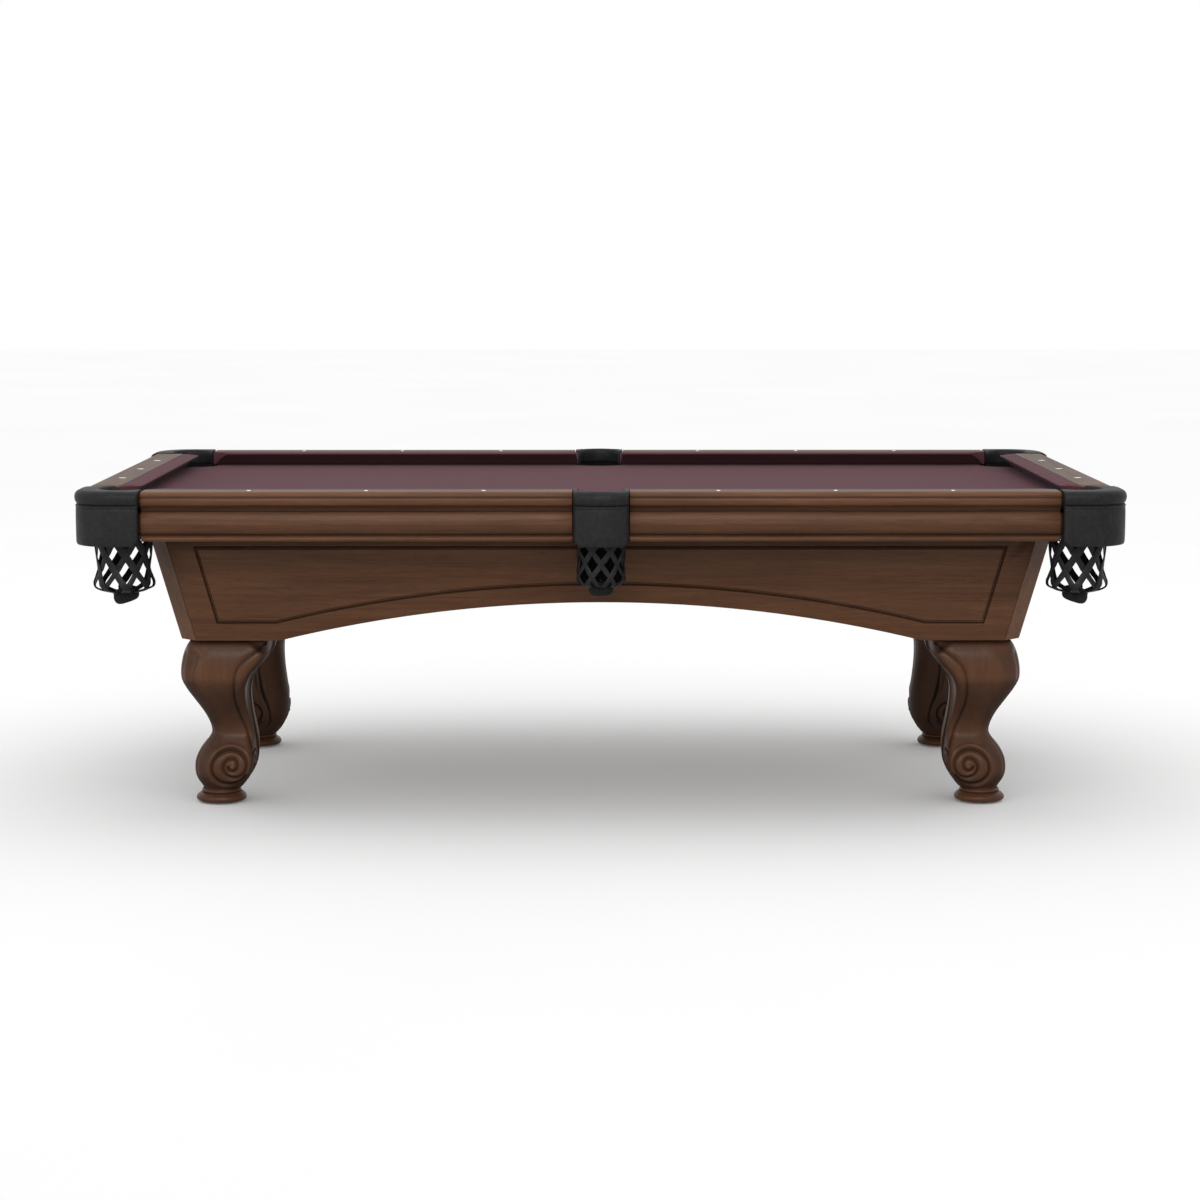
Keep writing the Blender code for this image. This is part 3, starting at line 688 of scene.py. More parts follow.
def casting(name, skirt, out, hole, into, mirror, low, high):
    """Loft the casting section along matching skirt and hole paths, clipping its lower ends.

    The ends curl in towards the rails, and no point leaves the box from low to high.
    """
    section = casting_section()
    steps = np.linalg.norm(np.diff(skirt, axis=0), axis=1)
    travelled = np.concatenate([[0.0], np.cumsum(steps)])
    from_end = np.minimum(travelled, travelled[-1] - travelled)
    top = CASTING_TOP - SKIRT_TOP_DROP
    verts = []
    turn = 1 - np.clip(from_end / CURL_LENGTH, 0, 1)
    curl = CURL_DEPTH * (1 - np.sqrt(1 - turn ** 2))
    for p, n, q, m, edge, tuck, bend in zip(skirt, out, hole, into, from_end, curl, turn):
        lift = np.clip(CLIP_LENGTH - edge, 0.0, None)
        p = p - n * tuck
        for base, offset, z in section:
            if base == "hole":
                x, y = q + m * offset
                z = z - END_DROP * bend
            elif base == "half":
                x, y = (p + q) / 2
            else:
                x, y = p + n * offset
            x = min(max(x, low[0]), high[0])
            y = max(y, low[1])
            if z < top and base == "skirt":
                z = top + (z - top) * (top - CASTING_LOW - lift) / (top - CASTING_LOW)
            verts.append((mirror[0] * x, mirror[1] * y, z))
    faces = tube_faces(len(skirt), len(section))
    mesh_object("casting_" + name, verts, faces, LEATHER, ["pocket_iron_" + name], "leather",
                sharp=50.0)


def walk(points, count):
    """Resample a polyline, with its samples closer together near both ends."""
    points = np.asarray(points, dtype=float)
    lengths = np.concatenate([[0], np.cumsum(np.linalg.norm(np.diff(points, axis=0), axis=1))])
    t = np.linspace(-1, 1, count)
    at = lengths[-1] * (0.5 + 0.5 * t * (1.2 - 0.2 * t ** 4))
    return np.stack([np.interp(at, lengths, points[:, k]) for k in (0, 1)], axis=1)


def side_normals(path, first, last):
    """Normals to the left of a path, set to given directions at its ends."""
    tangent = np.gradient(path, axis=0)
    normals = unit(np.stack([-tangent[:, 1], tangent[:, 0]], axis=1))
    normals[0] = first
    normals[-1] = last
    return normals


def make_castings():
    count = 73
    skirt_x = reach("pocket_iron_front_right", 0) - SWELL
    skirt_y = reach("pocket_iron_front_right", 1) - SWELL
    horn_x = nearest("pocket_iron_front_right", 0)
    horn_y = nearest("pocket_iron_front_right", 1)
    inner_x = FACE_X - WOOD_INNER + 0.0003
    inner_y = FACE_Y - WOOD_INNER + 0.0003
    corner = 0.1
    hole_radius = 0.0535
    bend = arc((skirt_x - corner, skirt_y - corner), (corner, corner), 90, 0, 48)
    skirt = walk([(horn_x, skirt_y), *bend, (skirt_x, horn_y)], count)
    out = side_normals(skirt, (0, 1), (1, 0))
    start = 180 - math.degrees(math.asin((inner_y - CORNER_Y) / hole_radius))
    end = -math.degrees(math.acos((inner_x - CORNER_X) / hole_radius))
    rim = arc((CORNER_X, CORNER_Y), (hole_radius, hole_radius), start, end, 60)
    hole = walk([(horn_x, inner_y), *rim, (inner_x, horn_y)], count)
    into = side_normals(hole, (0, 1), (1, 0))
    for name, (sx, sy) in CORNERS.items():
        casting(name, skirt, out, hole, into, (sx, sy), (horn_x, horn_y),
                (skirt_x + SWELL, skirt_y + SWELL))

    half = reach("pocket_iron_front", 0)
    front = reach("pocket_iron_front", 1) - SWELL
    sagitta = 0.022
    radius = (half ** 2 + sagitta ** 2) / (2 * sagitta)
    bow = math.degrees(math.asin(half / radius))
    hole_radius = 0.0565
    skirt = walk(arc((0, front - radius), (radius, radius), 90 + bow, 90 - bow, 60), count)
    out = side_normals(skirt, (0, 1), (0, 1))
    ease = np.minimum(np.linspace(0, 1, count), np.linspace(1, 0, count)) / 0.12
    out[:, 0] *= np.clip(ease, 0, 1)
    out = unit(out)
    low = math.degrees(math.asin((SIDE_Y - inner_y) / hole_radius))
    rim = arc((0, SIDE_Y), (hole_radius, hole_radius), 180 + low, -low, 60)
    hole = walk([(-half, inner_y), *rim, (half, inner_y)], count)
    into = side_normals(hole, (0, 1), (0, 1))
    for name, side in SIDES.items():
        casting(name, skirt, out, hole, into, (1, side), (-half, inner_y), (half, front))


# ---- pocket nets

# Straps wound each way, and the angle between one crossing and the next
STRAPS = 8
STRAP_STEP = math.tau / (2 * STRAPS)


def net_radius(profile, z):
    """Radius of a net at a height, on a smooth curve through its (height, radius) profile."""
    heights = [h for h, r in profile][::-1]
    radii = [r for h, r in profile][::-1]
    curve = spline(list(zip(heights, radii)), 80)
    return np.interp(z, curve[:, 0], curve[:, 1])


def strap(center, profile, top, bottom, start_angle, turn, lift, width, rise):
    """One flat leather strap wound down the net, bowed out or in where it meets another."""
    samples = 58
    thick = 0.0024
    verts = []
    z = np.linspace(top, bottom, samples)
    radius = net_radius(profile, z)
    angle = start_angle + turn * (top - z) / rise * STRAP_STEP
    weave = lift * (0.75 + 0.25 * np.cos((top - z) / rise * math.tau))
    path = np.stack([center[0] + (radius + weave) * np.cos(angle),
                     center[1] + (radius + weave) * np.sin(angle), z], axis=1)
    tangent = unit(np.gradient(path, axis=0))
    slope = np.gradient(radius, z)
    normal = np.stack([np.cos(angle), np.sin(angle), -slope], axis=1)
    normal = unit(normal - tangent * np.sum(normal * tangent, axis=1)[:, None])
    across = np.cross(tangent, normal)
    section = [(-0.5, -0.2), (-0.44, -0.5), (0.44, -0.5), (0.5, -0.2), (0.5, 0.2),
               (0.42, 0.5), (0.0, 0.62), (-0.42, 0.5), (-0.5, 0.2)]
    # Painted shade on each strap's inner side, the side that faces into the net
    painted_shade_inside = [0.9 if b < 0 else 0.0 for a, b in section]
    crossing = np.cos((top - z) / rise * math.pi) ** 8
    for p, side, out, near in zip(path, across, normal, crossing):
        taper = 0.86 + 0.42 * (p[2] - bottom) / (top - bottom)
        for a, b in section:
            verts.append(p + side * a * width * taper * (1 + 0.1 * near) + out * b * thick)
    return verts, tube_faces(samples, len(section)), painted_shade_inside * samples


def joined(parts):
    """Join (verts, faces, painted shade) parts into one list of each."""
    verts = []
    faces = []
    painted_light = []
    for part_verts, part_faces, part_carve in parts:
        base = len(verts)
        verts += list(part_verts)
        faces += [tuple(i + base for i in face) for face in part_faces]
        painted_light += list(part_carve)
    return verts, faces, painted_light


def pleated_knob(center, top, bottom, radius, lean):
    """The gathered end: a short pleated drum, tied at the neck and leaning outwards."""
    steps = 180
    height = top - bottom
    rings = [(1.1, 0.62), (1.02, 0.74), (0.96, 0.88), (0.9, 0.96), (0.8, 0.95), (0.7, 1.0),
             (0.55, 1.04), (0.36, 1.03), (0.2, 0.96), (0.08, 0.82), (0.02, 0.64),
             (0.0, 0.4), (0.06, 0.12)]
    verts = []
    painted_light = []
    for level, reach_out in rings:
        pleat = 0.085 if 0.02 < level < 0.95 else 0.03
        for i in range(steps):
            angle = math.tau * i / steps
            fold = abs(math.sin(angle * 15))
            ripple = 1 + pleat * (fold - 0.6) + 0.015 * math.sin(angle * 5)
            # Painted shade in the valleys between the pleats
            painted_light.append(0.9 * (1 - fold) ** 1.5)
            r = radius * reach_out * ripple
            along = (level - 0.9) * height
            x = r * math.cos(angle)
            y = r * math.sin(angle)
            verts.append((center[0] + x * math.cos(lean) - along * math.sin(lean), center[1] + y,
                          bottom + 0.9 * height + x * math.sin(lean) + along * math.cos(lean)))
    return verts, tube_faces(len(rings), steps), painted_light


def collar(center, top, bottom, radius, wall):
    """The leather sleeve that lines the throat and carries the straps."""
    steps = 64
    rings = [(radius, top), (radius, bottom + 0.003), (radius - 0.0004, bottom + 0.001),
             (radius - wall / 2, bottom), (radius - wall, bottom + 0.001),
             (radius - wall - 0.0004, bottom + 0.003), (radius - wall, top)]
    verts = []
    for r, z in rings:
        for i in range(steps):
            angle = math.tau * i / steps
            verts.append((center[0] + r * math.cos(angle), center[1] + r * math.sin(angle), z))
    # Painted shade on the sleeve: heavy on its inner face, light on its outer face
    painted_light = [0.9 if r < radius - wall / 2 else 0.3 for r, z in rings for i in range(steps)]
    return verts, tube_faces(len(rings), steps, closed_along=True, capped=False), painted_light


def flap(center, profile, top, bottom):
    """A solid leather back flap that hangs inside the net, on the table's side; besides lining the
    net it stands in for the shade behind the openings, and it carries painted shade all over.
    """
    columns = 40
    heights = np.linspace(top, bottom, 14)
    outer = net_radius(profile, heights) - 0.0045
    section = list(zip(outer, heights)) + list(zip(outer[::-1] - 0.002, heights[::-1]))
    verts = []
    for angle in np.radians(np.linspace(184, 356, columns)):
        for r, z in section:
            verts.append((center[0] + r * math.cos(angle), center[1] + r * math.sin(angle), z))
    return verts, tube_faces(columns, len(section)), [0.9] * len(verts)


def net(name, center, profile, knob, crossing_z, crossing_angle, rise, widths, lean, mirror,
        flapped):
    """Eight straps wound each way, from the sleeve to the knob, mirrored into their pocket."""
    rim = profile[0][0]
    top = rim - 0.032
    bottom = profile[-1][0]
    parts = [collar(center, rim, rim - 0.046, profile[0][1], 0.0026)]
    offset = (top - crossing_z) / rise * STRAP_STEP
    for i in range(STRAPS):
        base = crossing_angle + math.tau * i / STRAPS
        for turn, width in zip((1, -1), widths):
            parts.append(strap(center, profile, top, bottom, base - turn * offset, turn,
                               turn * 0.0013, width, rise))
    parts.append(pleated_knob(center, *knob, lean))
    if flapped:
        parts.append(flap(center, profile, rim - 0.03, profile[-3][0]))
    verts, faces, painted_light = joined(parts)
    verts = np.array(verts) * (*mirror, 1)
    mesh_object("net_" + name, verts, faces, LEATHER, ["pocket_net_" + name], "leather",
                painted_light=painted_light, sharp=50.0)


def make_nets():
    rim = BED_TOP + 0.0004
    corner_profile = [(rim, 0.0544), *metres((
        (745, 60), (715, 64), (670, 66.4), (640, 64.5), (612, 62.5), (590, 67.2), (574, 71.2),
        (563, 66), (556, 48), (551, 24)))]
    side_profile = [(rim, 0.06), *metres((
        (715, 59.5), (670, 58.5), (645, 56.5), (625, 54.5), (604, 57.2), (589, 58.2), (579, 53),
        (573, 40), (569, 23)))]
    for name, mirror in CORNERS.items():
        net(name, (CORNER_X, CORNER_Y), corner_profile, (0.56, 0.5262, 0.029), 0.605,
            math.radians(81), 0.039, (0.0166, 0.0136), math.radians(-18), mirror, flapped=False)
    for name, side in SIDES.items():
        net(name, (0.0, SIDE_Y), side_profile, (0.578, 0.5475, 0.0275), 0.6275,
            math.radians(90), 0.031, (0.0122, 0.0116), 0.0, (1, side), flapped=True)


# ---- bed

CORNER_NOTCH = 0.07
SIDE_NOTCH = 0.0665


def bed_outline():
    """Plan of the bed inside its edge, with the pocket cut-outs, counter-clockwise."""
    low = -math.degrees(math.acos((SLATE_X - CORNER_X) / CORNER_NOTCH))
    high = -180 - math.degrees(math.asin((SLATE_Y - CORNER_Y) / CORNER_NOTCH))
    corner = arc((CORNER_X, CORNER_Y), (CORNER_NOTCH, CORNER_NOTCH), high, low, 28)[::-1]
    dip = math.degrees(math.asin((SLATE_Y - SIDE_Y) / SIDE_NOTCH))
    side = arc((0.0, SIDE_Y), (SIDE_NOTCH, SIDE_NOTCH), dip, -180 - dip, 32)

    def mirrored(points, sx, sy):
        turned = [(sx * x, sy * y) for x, y in points]
        return turned if sx == sy else turned[::-1]

    return (corner + side + mirrored(corner, -1, 1) + mirrored(corner, -1, -1)
            + mirrored(side, 1, -1) + mirrored(corner, 1, -1))


def make_bed():
    """One stretched cloth, turned down over the slate's edges and into the pocket cut-outs."""
    plan = np.array(bed_outline())
    before = unit(plan - np.roll(plan, 1, axis=0))
    after = unit(np.roll(plan, -1, axis=0) - plan)
    outward = unit(np.stack([before[:, 1] + after[:, 1], -before[:, 0] - after[:, 0]], axis=1))
    levels = metres(((-6, 0), (-4, 0), (-2.4, -0.4), (-1, -1.4), (-0.3, -2.8), (0, -4.5), (0, -12),
                     (0, -21)))
    verts = []
    for grow, drop in levels:
        for (x, y), (nx, ny) in zip(plan, outward):
            verts.append((x + nx * grow, y + ny * grow, BED_TOP + drop))
    count = len(plan)
    faces = tube_faces(len(levels), count, capped=False)
    rim = [Vector((x, y)) for x, y, z in verts[:count]]
    margin = 0.09
    across = np.linspace(-SLATE_X + margin, SLATE_X - margin, 30)
    deep = np.linspace(-SLATE_Y + margin, SLATE_Y - margin, 15)
    inside = [Vector((x, y)) for x in across for y in deep
              if math.hypot(x, abs(y) - SIDE_Y) > 0.085]
    edges = [(i, (i + 1) % count) for i in range(count)]
    flat_points, _, flat_faces, origin, _, _ = delaunay_2d_cdt(rim + inside, edges, [], 1, 1e-6)
    base = len(verts)
    names = []
    for point, sources in zip(flat_points, origin):
        source = next((i for i in sources if i < count), None)
        names.append(base if source is None else source)
        if source is None:
            verts.append((point.x, point.y, BED_TOP))
            base += 1
    faces += [tuple(names[i] for i in face) for face in flat_faces]
    cloth = mesh_object("bed_cloth_sheet", verts, faces, CLOTH, ["bed_cloth"], "cloth", sharp=60.0)


# ---- cabinet

POST_TOP_X = reach("post_front_right", 0)
POST_TOP_Y = reach("post_front_right", 1)
WALL_SLOPE = 0.242
POST_CUT = 0.042
APRON_EDGE = POST_CUT + 0.0006


def wall_x(z):
    """Reach of the cabinet's slanted end face at a height."""
    return POST_TOP_X - WALL_SLOPE * (CABINET_TOP - z)


def wall_y(z):
    """Reach of the cabinet's slanted long face at a height."""
    return POST_TOP_Y - WALL_SLOPE * (CABINET_TOP - z)


def arched_loop(wall, span, rise, side_margin, lift, top):
    """Counter-clockwise (along, height) loop whose lower edge follows the arch."""
    steps = 40
    radius = (span ** 2 + rise ** 2) / (2 * rise)
    middle = CABINET_LOW + rise - radius
    low = CABINET_LOW + lift
    own = radius + lift
    half = math.sqrt(own ** 2 - (low - middle) ** 2)
    edge = wall(low) - side_margin
    high_edge = wall(top) - side_margin
    loop = line((-edge, low), (-half, low), 5)
    loop += [(x, middle + math.sqrt(own ** 2 - x ** 2))
             for x in np.linspace(-half, half, steps + 1)[:-1]]
    loop += line((half, low), (edge, low), 5)
    loop += line((edge, low), (high_edge, top), 7)
    loop += line((high_edge, top), (-high_edge, top), 23)
    loop += line((-high_edge, top), (-edge, low), 7)
    return loop


def apron(name, wall, span, rise, panel, place, axis, seed):
    """A slanted apron with a double-line groove routed round its panel."""
    groove_side, groove_lift, groove_top = panel
    groove = metres(((0, 0), (0.6, 1.2), (1.3, 3.2), (2.4, 4.4), (3.6, 4), (4.8, 2.6), (5.6, 1.4),
                     (6.4, 1.3), (7.2, 2.2), (8.2, 2.7), (9, 1.2), (9.6, 0)))
    edge = metres(((1.2, 1.8, 1, 0), (0.3, 0.6, 0.3, 0.5), (0, 0, 0, 1.6), (0, 0, 0, 21.2),
                   (1.2, 1.4, 1, 23)))
    loops = [(groove_side + inset, groove_lift + inset, groove_top - inset, depth)
             for inset, depth in groove[::-1]]
    loops += [(APRON_EDGE + inset, lift, CABINET_TOP - drop, depth)
              for inset, lift, drop, depth in edge]
    verts = []
    for side_margin, lift, top, depth in loops:
        for along, z in arched_loop(wall, span, rise, side_margin, lift, top):
            verts.append(place(along, z, depth))
    count = len(verts) // len(loops)
    faces = tube_faces(len(loops), count)
    depths = np.repeat([loop[3] if index < len(groove) else 0.0
                        for index, loop in enumerate(loops)], count)
    heights = np.array(verts)[:, 2]
    # Painted shade: the groove darkens with its depth, and the apron's top darkens under the blind
    # moulding
    shade = np.clip(depths / 0.004, 0, 1) * 0.85
    shade_under_blind = 0.95 * smoothstep(0.648, 0.668, heights)
    shade = np.maximum(shade, shade_under_blind)
    mesh_object("panel_" + name, verts, faces, WALNUT, ["apron_" + name], "walnut",
                grain=grain_of(verts, axis, seed), painted_light=shade, sharp=35.0)


def make_cabinet():
    panel = (APRON_EDGE + 0.0615, 0.043, 0.657)
    for index, (name, side) in enumerate(SIDES.items()):
        apron(name, wall_x, 0.79, 0.098, panel,
              lambda along, z, depth, s=side: (along, s * (wall_y(z) - depth), z), "x", 21 + index)
    for index, (name, end) in enumerate(ENDS.items()):
        apron(name, wall_y, 0.23, 0.045, panel,
              lambda along, z, depth, e=end: (e * (wall_x(z) - depth), along, z), "y", 23 + index)
    block = 0.085
    inside = 0.0236
    cut = POST_CUT
    ease = 0.0012
    for index, (name, (sx, sy)) in enumerate(CORNERS.items()):
        plan = [(cut, 0.0008), (cut - ease, ease * 0.7), (ease * 0.7, cut - ease), (0.0008, cut),
                (inside, cut), (inside, block), (block, inside), (cut, inside)]
        heights = [(CABINET_LOW, 0.001), (CABINET_LOW + 0.001, 0.0)]
        heights += [(z, 0.0) for z in np.linspace(CABINET_LOW + 0.02, CABINET_TOP, 10)]
        verts = []
        for z, pull in heights:
            for dx, dy in plan:
                verts.append((sx * (wall_x(z) - dx - pull), sy * (wall_y(z) - dy - pull), z))
        # The corner posts are painted evenly lighter all over, a painted highlight
        mesh_object("corner_post_" + name, verts, tube_faces(len(heights), len(plan)), WALNUT,
                    ["post_" + name], "walnut", grain=grain_of(verts, "z", 31 + index),
                    painted_light=np.full(len(verts), -0.35), sharp=25.0)


# ---- legs

# (height, outward reach, inward reach) of the leg's sections from its foot axis
LEG_OUTLINE = metres((
    (415.7, 64, 135), (406, 71, 135.2), (396, 77.5, 135), (380, 85, 131), (360, 89.5, 117),
    (338, 91.5, 98), (315, 89.5, 84), (290, 78, 76.8), (260, 59.5, 76.2), (230, 41, 79),
    (205, 29, 82.8), (185, 23.5, 86), (170, 24.5, 88.4), (152, 36, 90.6), (134, 49, 91.2),
    (112, 59.5, 90.3), (93, 62.1, 87), (75, 60.3, 80), (58, 55, 69.5), (45, 49, 59),
    (37, 44.5, 52)
))
# (height, radius) of the turned foot
FOOT_PROFILE = metres((
    (35.2, 45.2), (34, 45.8), (32.5, 47.6), (30.5, 49), (28.5, 49.2), (26.8, 48.2), (25.8, 47.2),
    (25, 47.8), (24, 50.6), (22, 54.8), (19, 58.8), (15.5, 61.4), (12, 62.2), (8.8, 61.8),
    (6.2, 60.2), (4.5, 58), (4, 56)
))
OUTER_EYE = (-0.036, 0.0935)
INNER_EYE = (0.009, 0.095)
# (turns from the outward side through the bottom, radius) of a scroll's groove
SCROLL = (
    (0.0, 0.0117), (0.25, 0.0091), (0.5, 0.0106), (0.62, 0.0155), (0.75, 0.024),
    (1.0, 0.0234), (1.25, 0.0266), (1.5, 0.0352), (1.75, 0.0451), (2.0, 0.0525),
    (2.12, 0.0505), (2.25, 0.0425), (2.4, 0.0388),
)


def volute(eye, scale, grow=0.0, first=0.0, last=2.4):
    """Path of a scroll's groove about its eye, or of a line a little outside it."""
    curve = spline(SCROLL, 60)
    turns = np.linspace(first, last, 170)
    radius = scale * np.interp(turns, curve[:, 0], curve[:, 1]) + grow
    angle = math.tau * turns
    return np.stack([eye[0] + radius * np.cos(angle), eye[1] - radius * np.sin(angle)], axis=1)


def distance_to(path, s, z):
    """Distance of each (s, z) to a dense path."""
    best = np.full(s.shape, 9.0)
    for a, b in path:
        best = np.minimum(best, (s - a) ** 2 + (z - b) ** 2)
    return np.sqrt(best)


def bell(distance, width):
    """1 at no distance, fading to nothing over a few widths."""
    return np.exp(-(distance / width) ** 2)


# Lines on a face, as (distance outward from the foot axis, height)
OUTER_VOLUTE = volute(OUTER_EYE, 1.0)
OUTER_RIM = volute(OUTER_EYE, 1.0, 0.0075, 1.45, 2.3)
OUTER_BAND = spline(metres((
    (-132, 412), (-112, 398), (-92, 383), (-63, 357), (-48.5, 323), (-44.5, 265), (-54.5, 218),
    (-72, 172), (-84, 142), (-88, 115), (-87, 95)
)), 160)
INNER_VOLUTE = volute(INNER_EYE, 0.82)
INNER_BAND = spline(metres((
    (30, 44), (0, 47.5), (-24, 56), (-38.5, 72), (-42.5, 93), (-38.5, 118), (-28.5, 145),
    (-19, 179), (-12.5, 231), (-12, 290), (-22, 350), (-45, 402)
)), 160)


def outer_carve(s, z):
    """Depth cut into an outer face, and the painted shade and highlight there."""
    near = distance_to(OUTER_VOLUTE, s, z)
    rim = distance_to(OUTER_RIM, s, z)
    band = distance_to(OUTER_BAND, s, z)
    from_eye = np.hypot(s - OUTER_EYE[0], z - OUTER_EYE[1])
    depth = 0.0032 * bell(near, 0.0028) + 0.0044 * bell(near, 0.006)
    depth -= 0.002 * bell(rim, 0.0048) + 0.0022 * bell(from_eye, 0.005)
    depth += 0.0026 * bell(band, 0.002) + 0.0032 * bell(band, 0.0075)
    along = (s + 0.112) * 0.83 + (z - 0.3965) * 0.56
    across = -(s + 0.112) * 0.56 + (z - 0.3965) * 0.83
    pit = np.exp(-(along / 0.021) ** 2 - (across / 0.007) ** 2)
    depth += 0.012 * pit
    # Painted shade in the scroll's groove, along the band and in the pit; painted highlights on the
    # scroll's rim and round its eye
    dark = 0.72 * bell(near, 0.0034) + 0.62 * bell(band, 0.0036) + 0.8 * pit
    return depth, np.clip(dark, 0, 1) - 0.2 * bell(rim, 0.004) - 0.22 * bell(from_eye, 0.045)


def inner_carve(s, z):
    """The same for an inner face: its panel lies below the broad band down its back edge."""
    near = distance_to(INNER_VOLUTE, s, z)
    band = distance_to(INNER_BAND, s, z)
    from_eye = np.hypot(s - INNER_EYE[0], z - INNER_EYE[1])
    edge = INNER_BAND[4:]
    edge = edge[np.argsort(edge[:, 1])]
    beyond = s - np.interp(z, edge[:, 1], edge[:, 0])
    depth = 0.0058 * smoothstep(-0.001, 0.012, beyond)
    depth -= 0.003 * (1 - smoothstep(0.036, 0.048, from_eye))
    depth += 0.0026 * bell(near, 0.002) + 0.0026 * bell(near, 0.0046)
    depth -= 0.0022 * bell(from_eye, 0.0048)
    depth += 0.0028 * bell(band, 0.0022)
    slit = bell(band, 0.005) * bell(z - 0.16, 0.036)
    depth += 0.005 * slit
    ridge = beyond - 0.019 - 0.06 * (z - 0.2)
    tall = smoothstep(0.14, 0.17, z) * (1 - smoothstep(0.33, 0.39, z))
    depth -= 0.0028 * bell(ridge, 0.0062) * tall
    # Painted shade in the scroll's groove, along the band, in the slit and evenly over the whole
    # inner face
    dark = 0.8 * bell(near, 0.003) + 0.8 * bell(band, 0.0034) + 0.8 * slit
    return depth, np.clip(dark + 0.32, 0, 1)


def leg_points(around, up):
    """Points, carved depth and painted light (shade and highlight) of one leg about its foot axis,
    outward positive.
    """
    outline = spline(LEG_OUTLINE, 200)
    heights = np.linspace(LEG_OUTLINE[0][0], LEG_OUTLINE[-1][0], up)
    outward = np.interp(-heights, -outline[:, 0], outline[:, 1])
    inward = np.interp(-heights, -outline[:, 0], outline[:, 2])
    foot = spline(FOOT_PROFILE, 46)
    theta = np.linspace(0, math.tau, around, endpoint=False)
    cos, sin = np.cos(theta), np.sin(theta)
    out_corner = np.clip(np.minimum(cos, sin) * 1.8, 0, 1)
    in_corner = np.clip(np.minimum(-cos, -sin) * 1.8, 0, 1)
    body = []
    for z, o, i in zip(heights, outward, inward):
        square = smoothstep(0.375, 0.4157, z)
        round_foot = 1 - smoothstep(0.036, 0.075, z)
        power = 6.0 - 3.2 * out_corner - 2.4 * in_corner
        power = power + (6.5 - power) * square
        power = power + (2.0 - power) * round_foot
        radius = (np.abs(cos) ** power + np.abs(sin) ** power) ** (-1 / power)
        half = (o + i) / 2
        middle = (o - i) / 2
        body.append(np.stack([middle + half * radius * cos, middle + half * radius * sin,
                              np.full(around, z)], axis=1))
    body = np.array(body)
    du = np.roll(body, -1, axis=1) - np.roll(body, 1, axis=1)
    dv = np.gradient(body, axis=0)
    normal = np.cross(dv, du)
    normal /= np.linalg.norm(normal, axis=2)[:, :, None] + 1e-12
    normal *= np.sign(np.sum(normal[..., 0] * cos + normal[..., 1] * sin))
    x, y, z = body[..., 0], body[..., 1], body[..., 2]
    depth = np.zeros(x.shape)
    dark = np.zeros(x.shape)
    outer_limits = (0.3, 0.72)
    inner_limits = (0.72, 0.96)
    faces = ((normal[..., 1], x, outer_carve, outer_limits),
             (normal[..., 0], y, outer_carve, outer_limits),
             (-normal[..., 1], x, inner_carve, inner_limits),
             (-normal[..., 0], y, inner_carve, inner_limits))
    # Each face's function gives the depth cut there and the painted shade laid on it
    for facing, s, painted_light, limits in faces:
        weight = smoothstep(*limits, facing)
        cut, shade = painted_light(s, z)
        depth += cut * weight
        dark += shade * weight
    fade = smoothstep(0.037, 0.046, z) * (1 - smoothstep(0.41, 0.4157, z))
    body = body - normal * (depth * fade)[..., None]
    # Painted light on the body: painted shade on the rounded corners and the undersides, a painted
    # highlight across the knee, and a painted shadow along the top under the cabinet
    flat = np.maximum(np.abs(normal[..., 0]), np.abs(normal[..., 1]))
    knee_height = 0.325
    dark += 0.3 * (1 - smoothstep(0.72, 1.0, flat))
    dark -= 0.34 * bell(z - knee_height, 0.05) * smoothstep(0.7, 1.0, flat)
    dark = np.clip(dark, -0.4, 1) * fade + 0.75 * smoothstep(0.4085, 0.414, z)
    dark = np.clip(dark + 0.3 * smoothstep(0.05, 0.55, -normal[..., 2]), -0.4, 1)
    rings = list(body)
    shades = list(dark)
    for height, radius in foot:
        rings.append(np.stack([radius * cos, radius * sin, np.full(around, height)], axis=1))
        # Painted shade in the foot's two grooves
        groove = bell(height - 0.0357, 0.0012) + 0.8 * bell(height - 0.0257, 0.001)
        shades.append(np.full(around, min(1.0, groove)))
    return np.concatenate(rings), np.concatenate(shades), len(rings)


def make_legs():
    around = 360
    points, shades, rings = leg_points(around, 320)
    for index, (name, (sx, sy)) in enumerate(CORNERS.items()):
        verts = points * (sx, sy, 1) + (sx * LEG_X, sy * LEG_Y, 0)
        mesh_object("carved_leg_" + name, verts, tube_faces(rings, around), CARVED,
                    ["leg_" + name], "walnut", grain=grain_of(points, "z", 41 + index),
                    painted_light=shades, sharp=75.0)


# ---- kept CAD nodes

def dress_frame():
    """Give the CAD nodes that stay their own materials."""
    for node, obj in frame["nodes"].items():
        if node.startswith("slate"):
            material = SLATE
        elif "beam" in node:
            material = POPLAR
        elif node.startswith("leveler"):
            material = STEEL
        else:
            continue
        obj.data.materials.clear()
        obj.data.materials.append(material)


# ---- stage

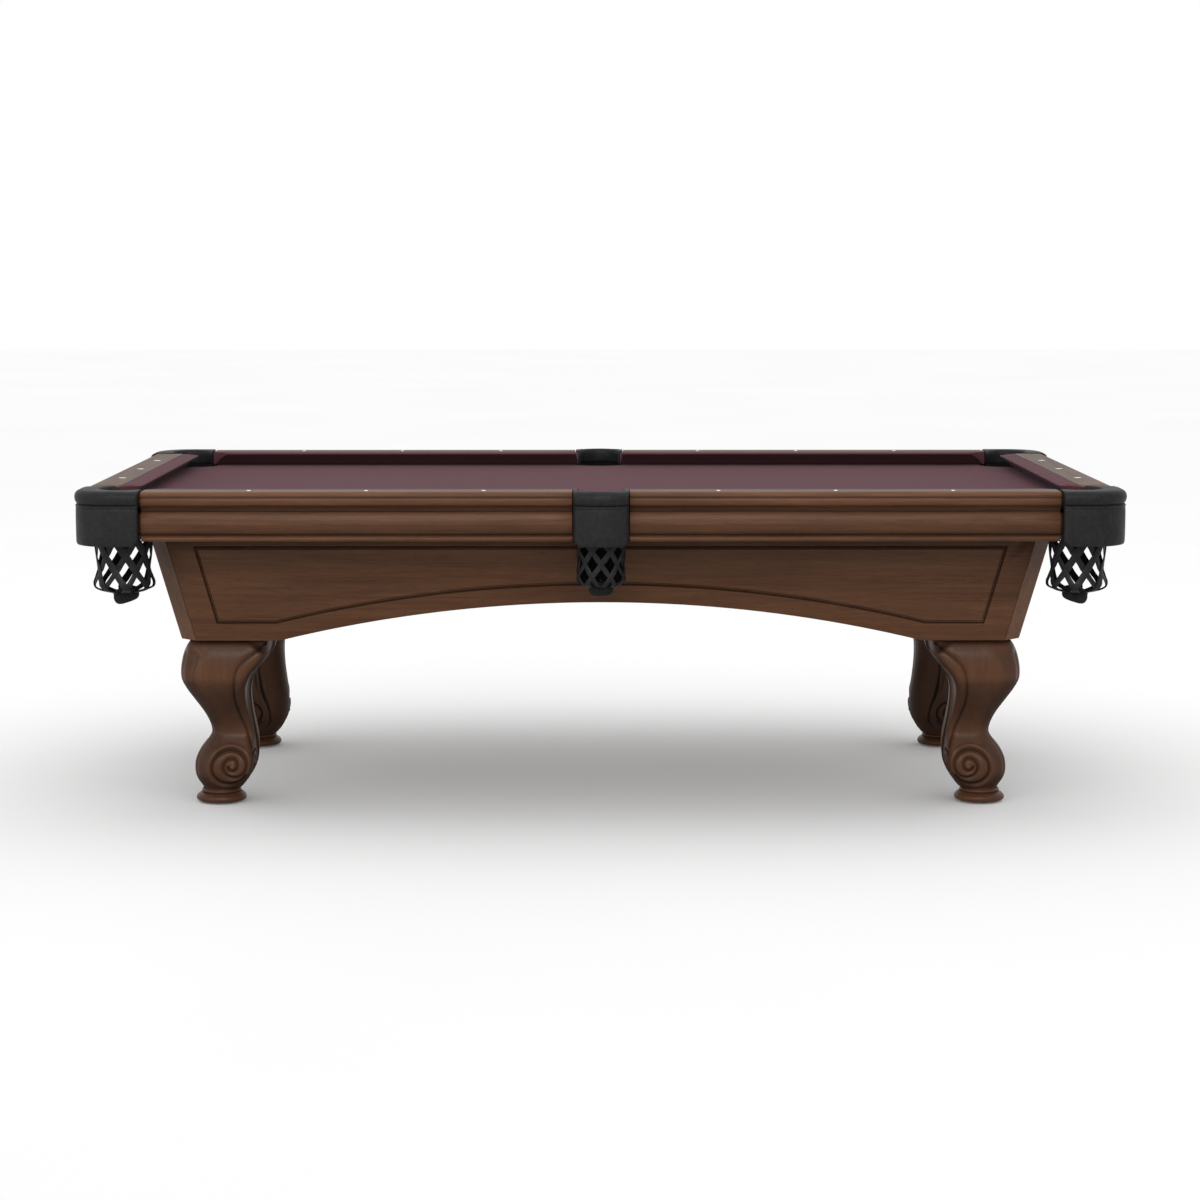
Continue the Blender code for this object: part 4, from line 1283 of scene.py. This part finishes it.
def make_stage():
    floor = bpy.data.meshes.new("floor")
    size = 30.0
    floor.from_pydata([(-size, -size, 0), (size, -size, 0), (size, size, 0), (-size, size, 0)],
                      [], [(0, 1, 2, 3)])
    floor.materials.append(floor_material())
    floor_object = bpy.data.objects.new("floor", floor)
    bpy.context.scene.collection.objects.link(floor_object)

    world = bpy.data.worlds.new("studio")
    world.use_nodes = True
    world.node_tree.nodes["Background"].inputs["Color"].default_value = (1.0, 1.0, 1.0, 1.0)
    world.node_tree.nodes["Background"].inputs["Strength"].default_value = 1.0
    bpy.context.scene.world = world

    lit = bpy.data.collections.new("key_light_falls_on")
    for obj in bpy.context.scene.objects:
        if obj.type == "MESH" and obj != floor_object:
            lit.objects.link(obj)

    def area(name, place, target, size_x, size_y, power, only=None):
        light = bpy.data.lights.new(name, "AREA")
        light.shape = "RECTANGLE"
        light.size = size_x
        light.size_y = size_y
        light.energy = power
        lamp = bpy.data.objects.new(name, light)
        lamp.location = place
        aim = Vector(target) - Vector(place)
        lamp.rotation_euler = aim.to_track_quat("-Z", "Y").to_euler()
        bpy.context.scene.collection.objects.link(lamp)
        lamp.light_linking.receiver_collection = only

    area("overhead", (0.0, 0.2, 4.2), (0, 0, 0), 5.0, 3.2, 22)
    area("key", (-0.3, -5.2, 4.0), (0, -0.3, 0.6), 4.5, 3.0, 250, lit)
    area("side", (-4.4, -3.2, 1.5), (-0.9, -0.4, 0.4), 1.6, 2.0, 34, lit)


def make_camera():
    """The camera stands well back, a little left of centre, and looks slightly down."""
    camera = bpy.data.cameras.new("camera")
    camera.lens = 82.3
    camera.sensor_width = 36.0
    camera.sensor_fit = "HORIZONTAL"
    camera.clip_end = 100.0
    eye = bpy.data.objects.new("camera", camera)
    eye.location = (-0.026, -7.149, 1.377)
    aim = Vector((0.0, 0.0, 0.4555)) - eye.location
    eye.rotation_euler = aim.to_track_quat("-Z", "Y").to_euler()
    bpy.context.scene.collection.objects.link(eye)
    bpy.context.scene.camera = eye
    bpy.context.scene.view_settings.view_transform = "Standard"


make_camera()
make_rails()
make_castings()
make_nets()
make_bed()
make_cabinet()
make_legs()
dress_frame()
make_stage()
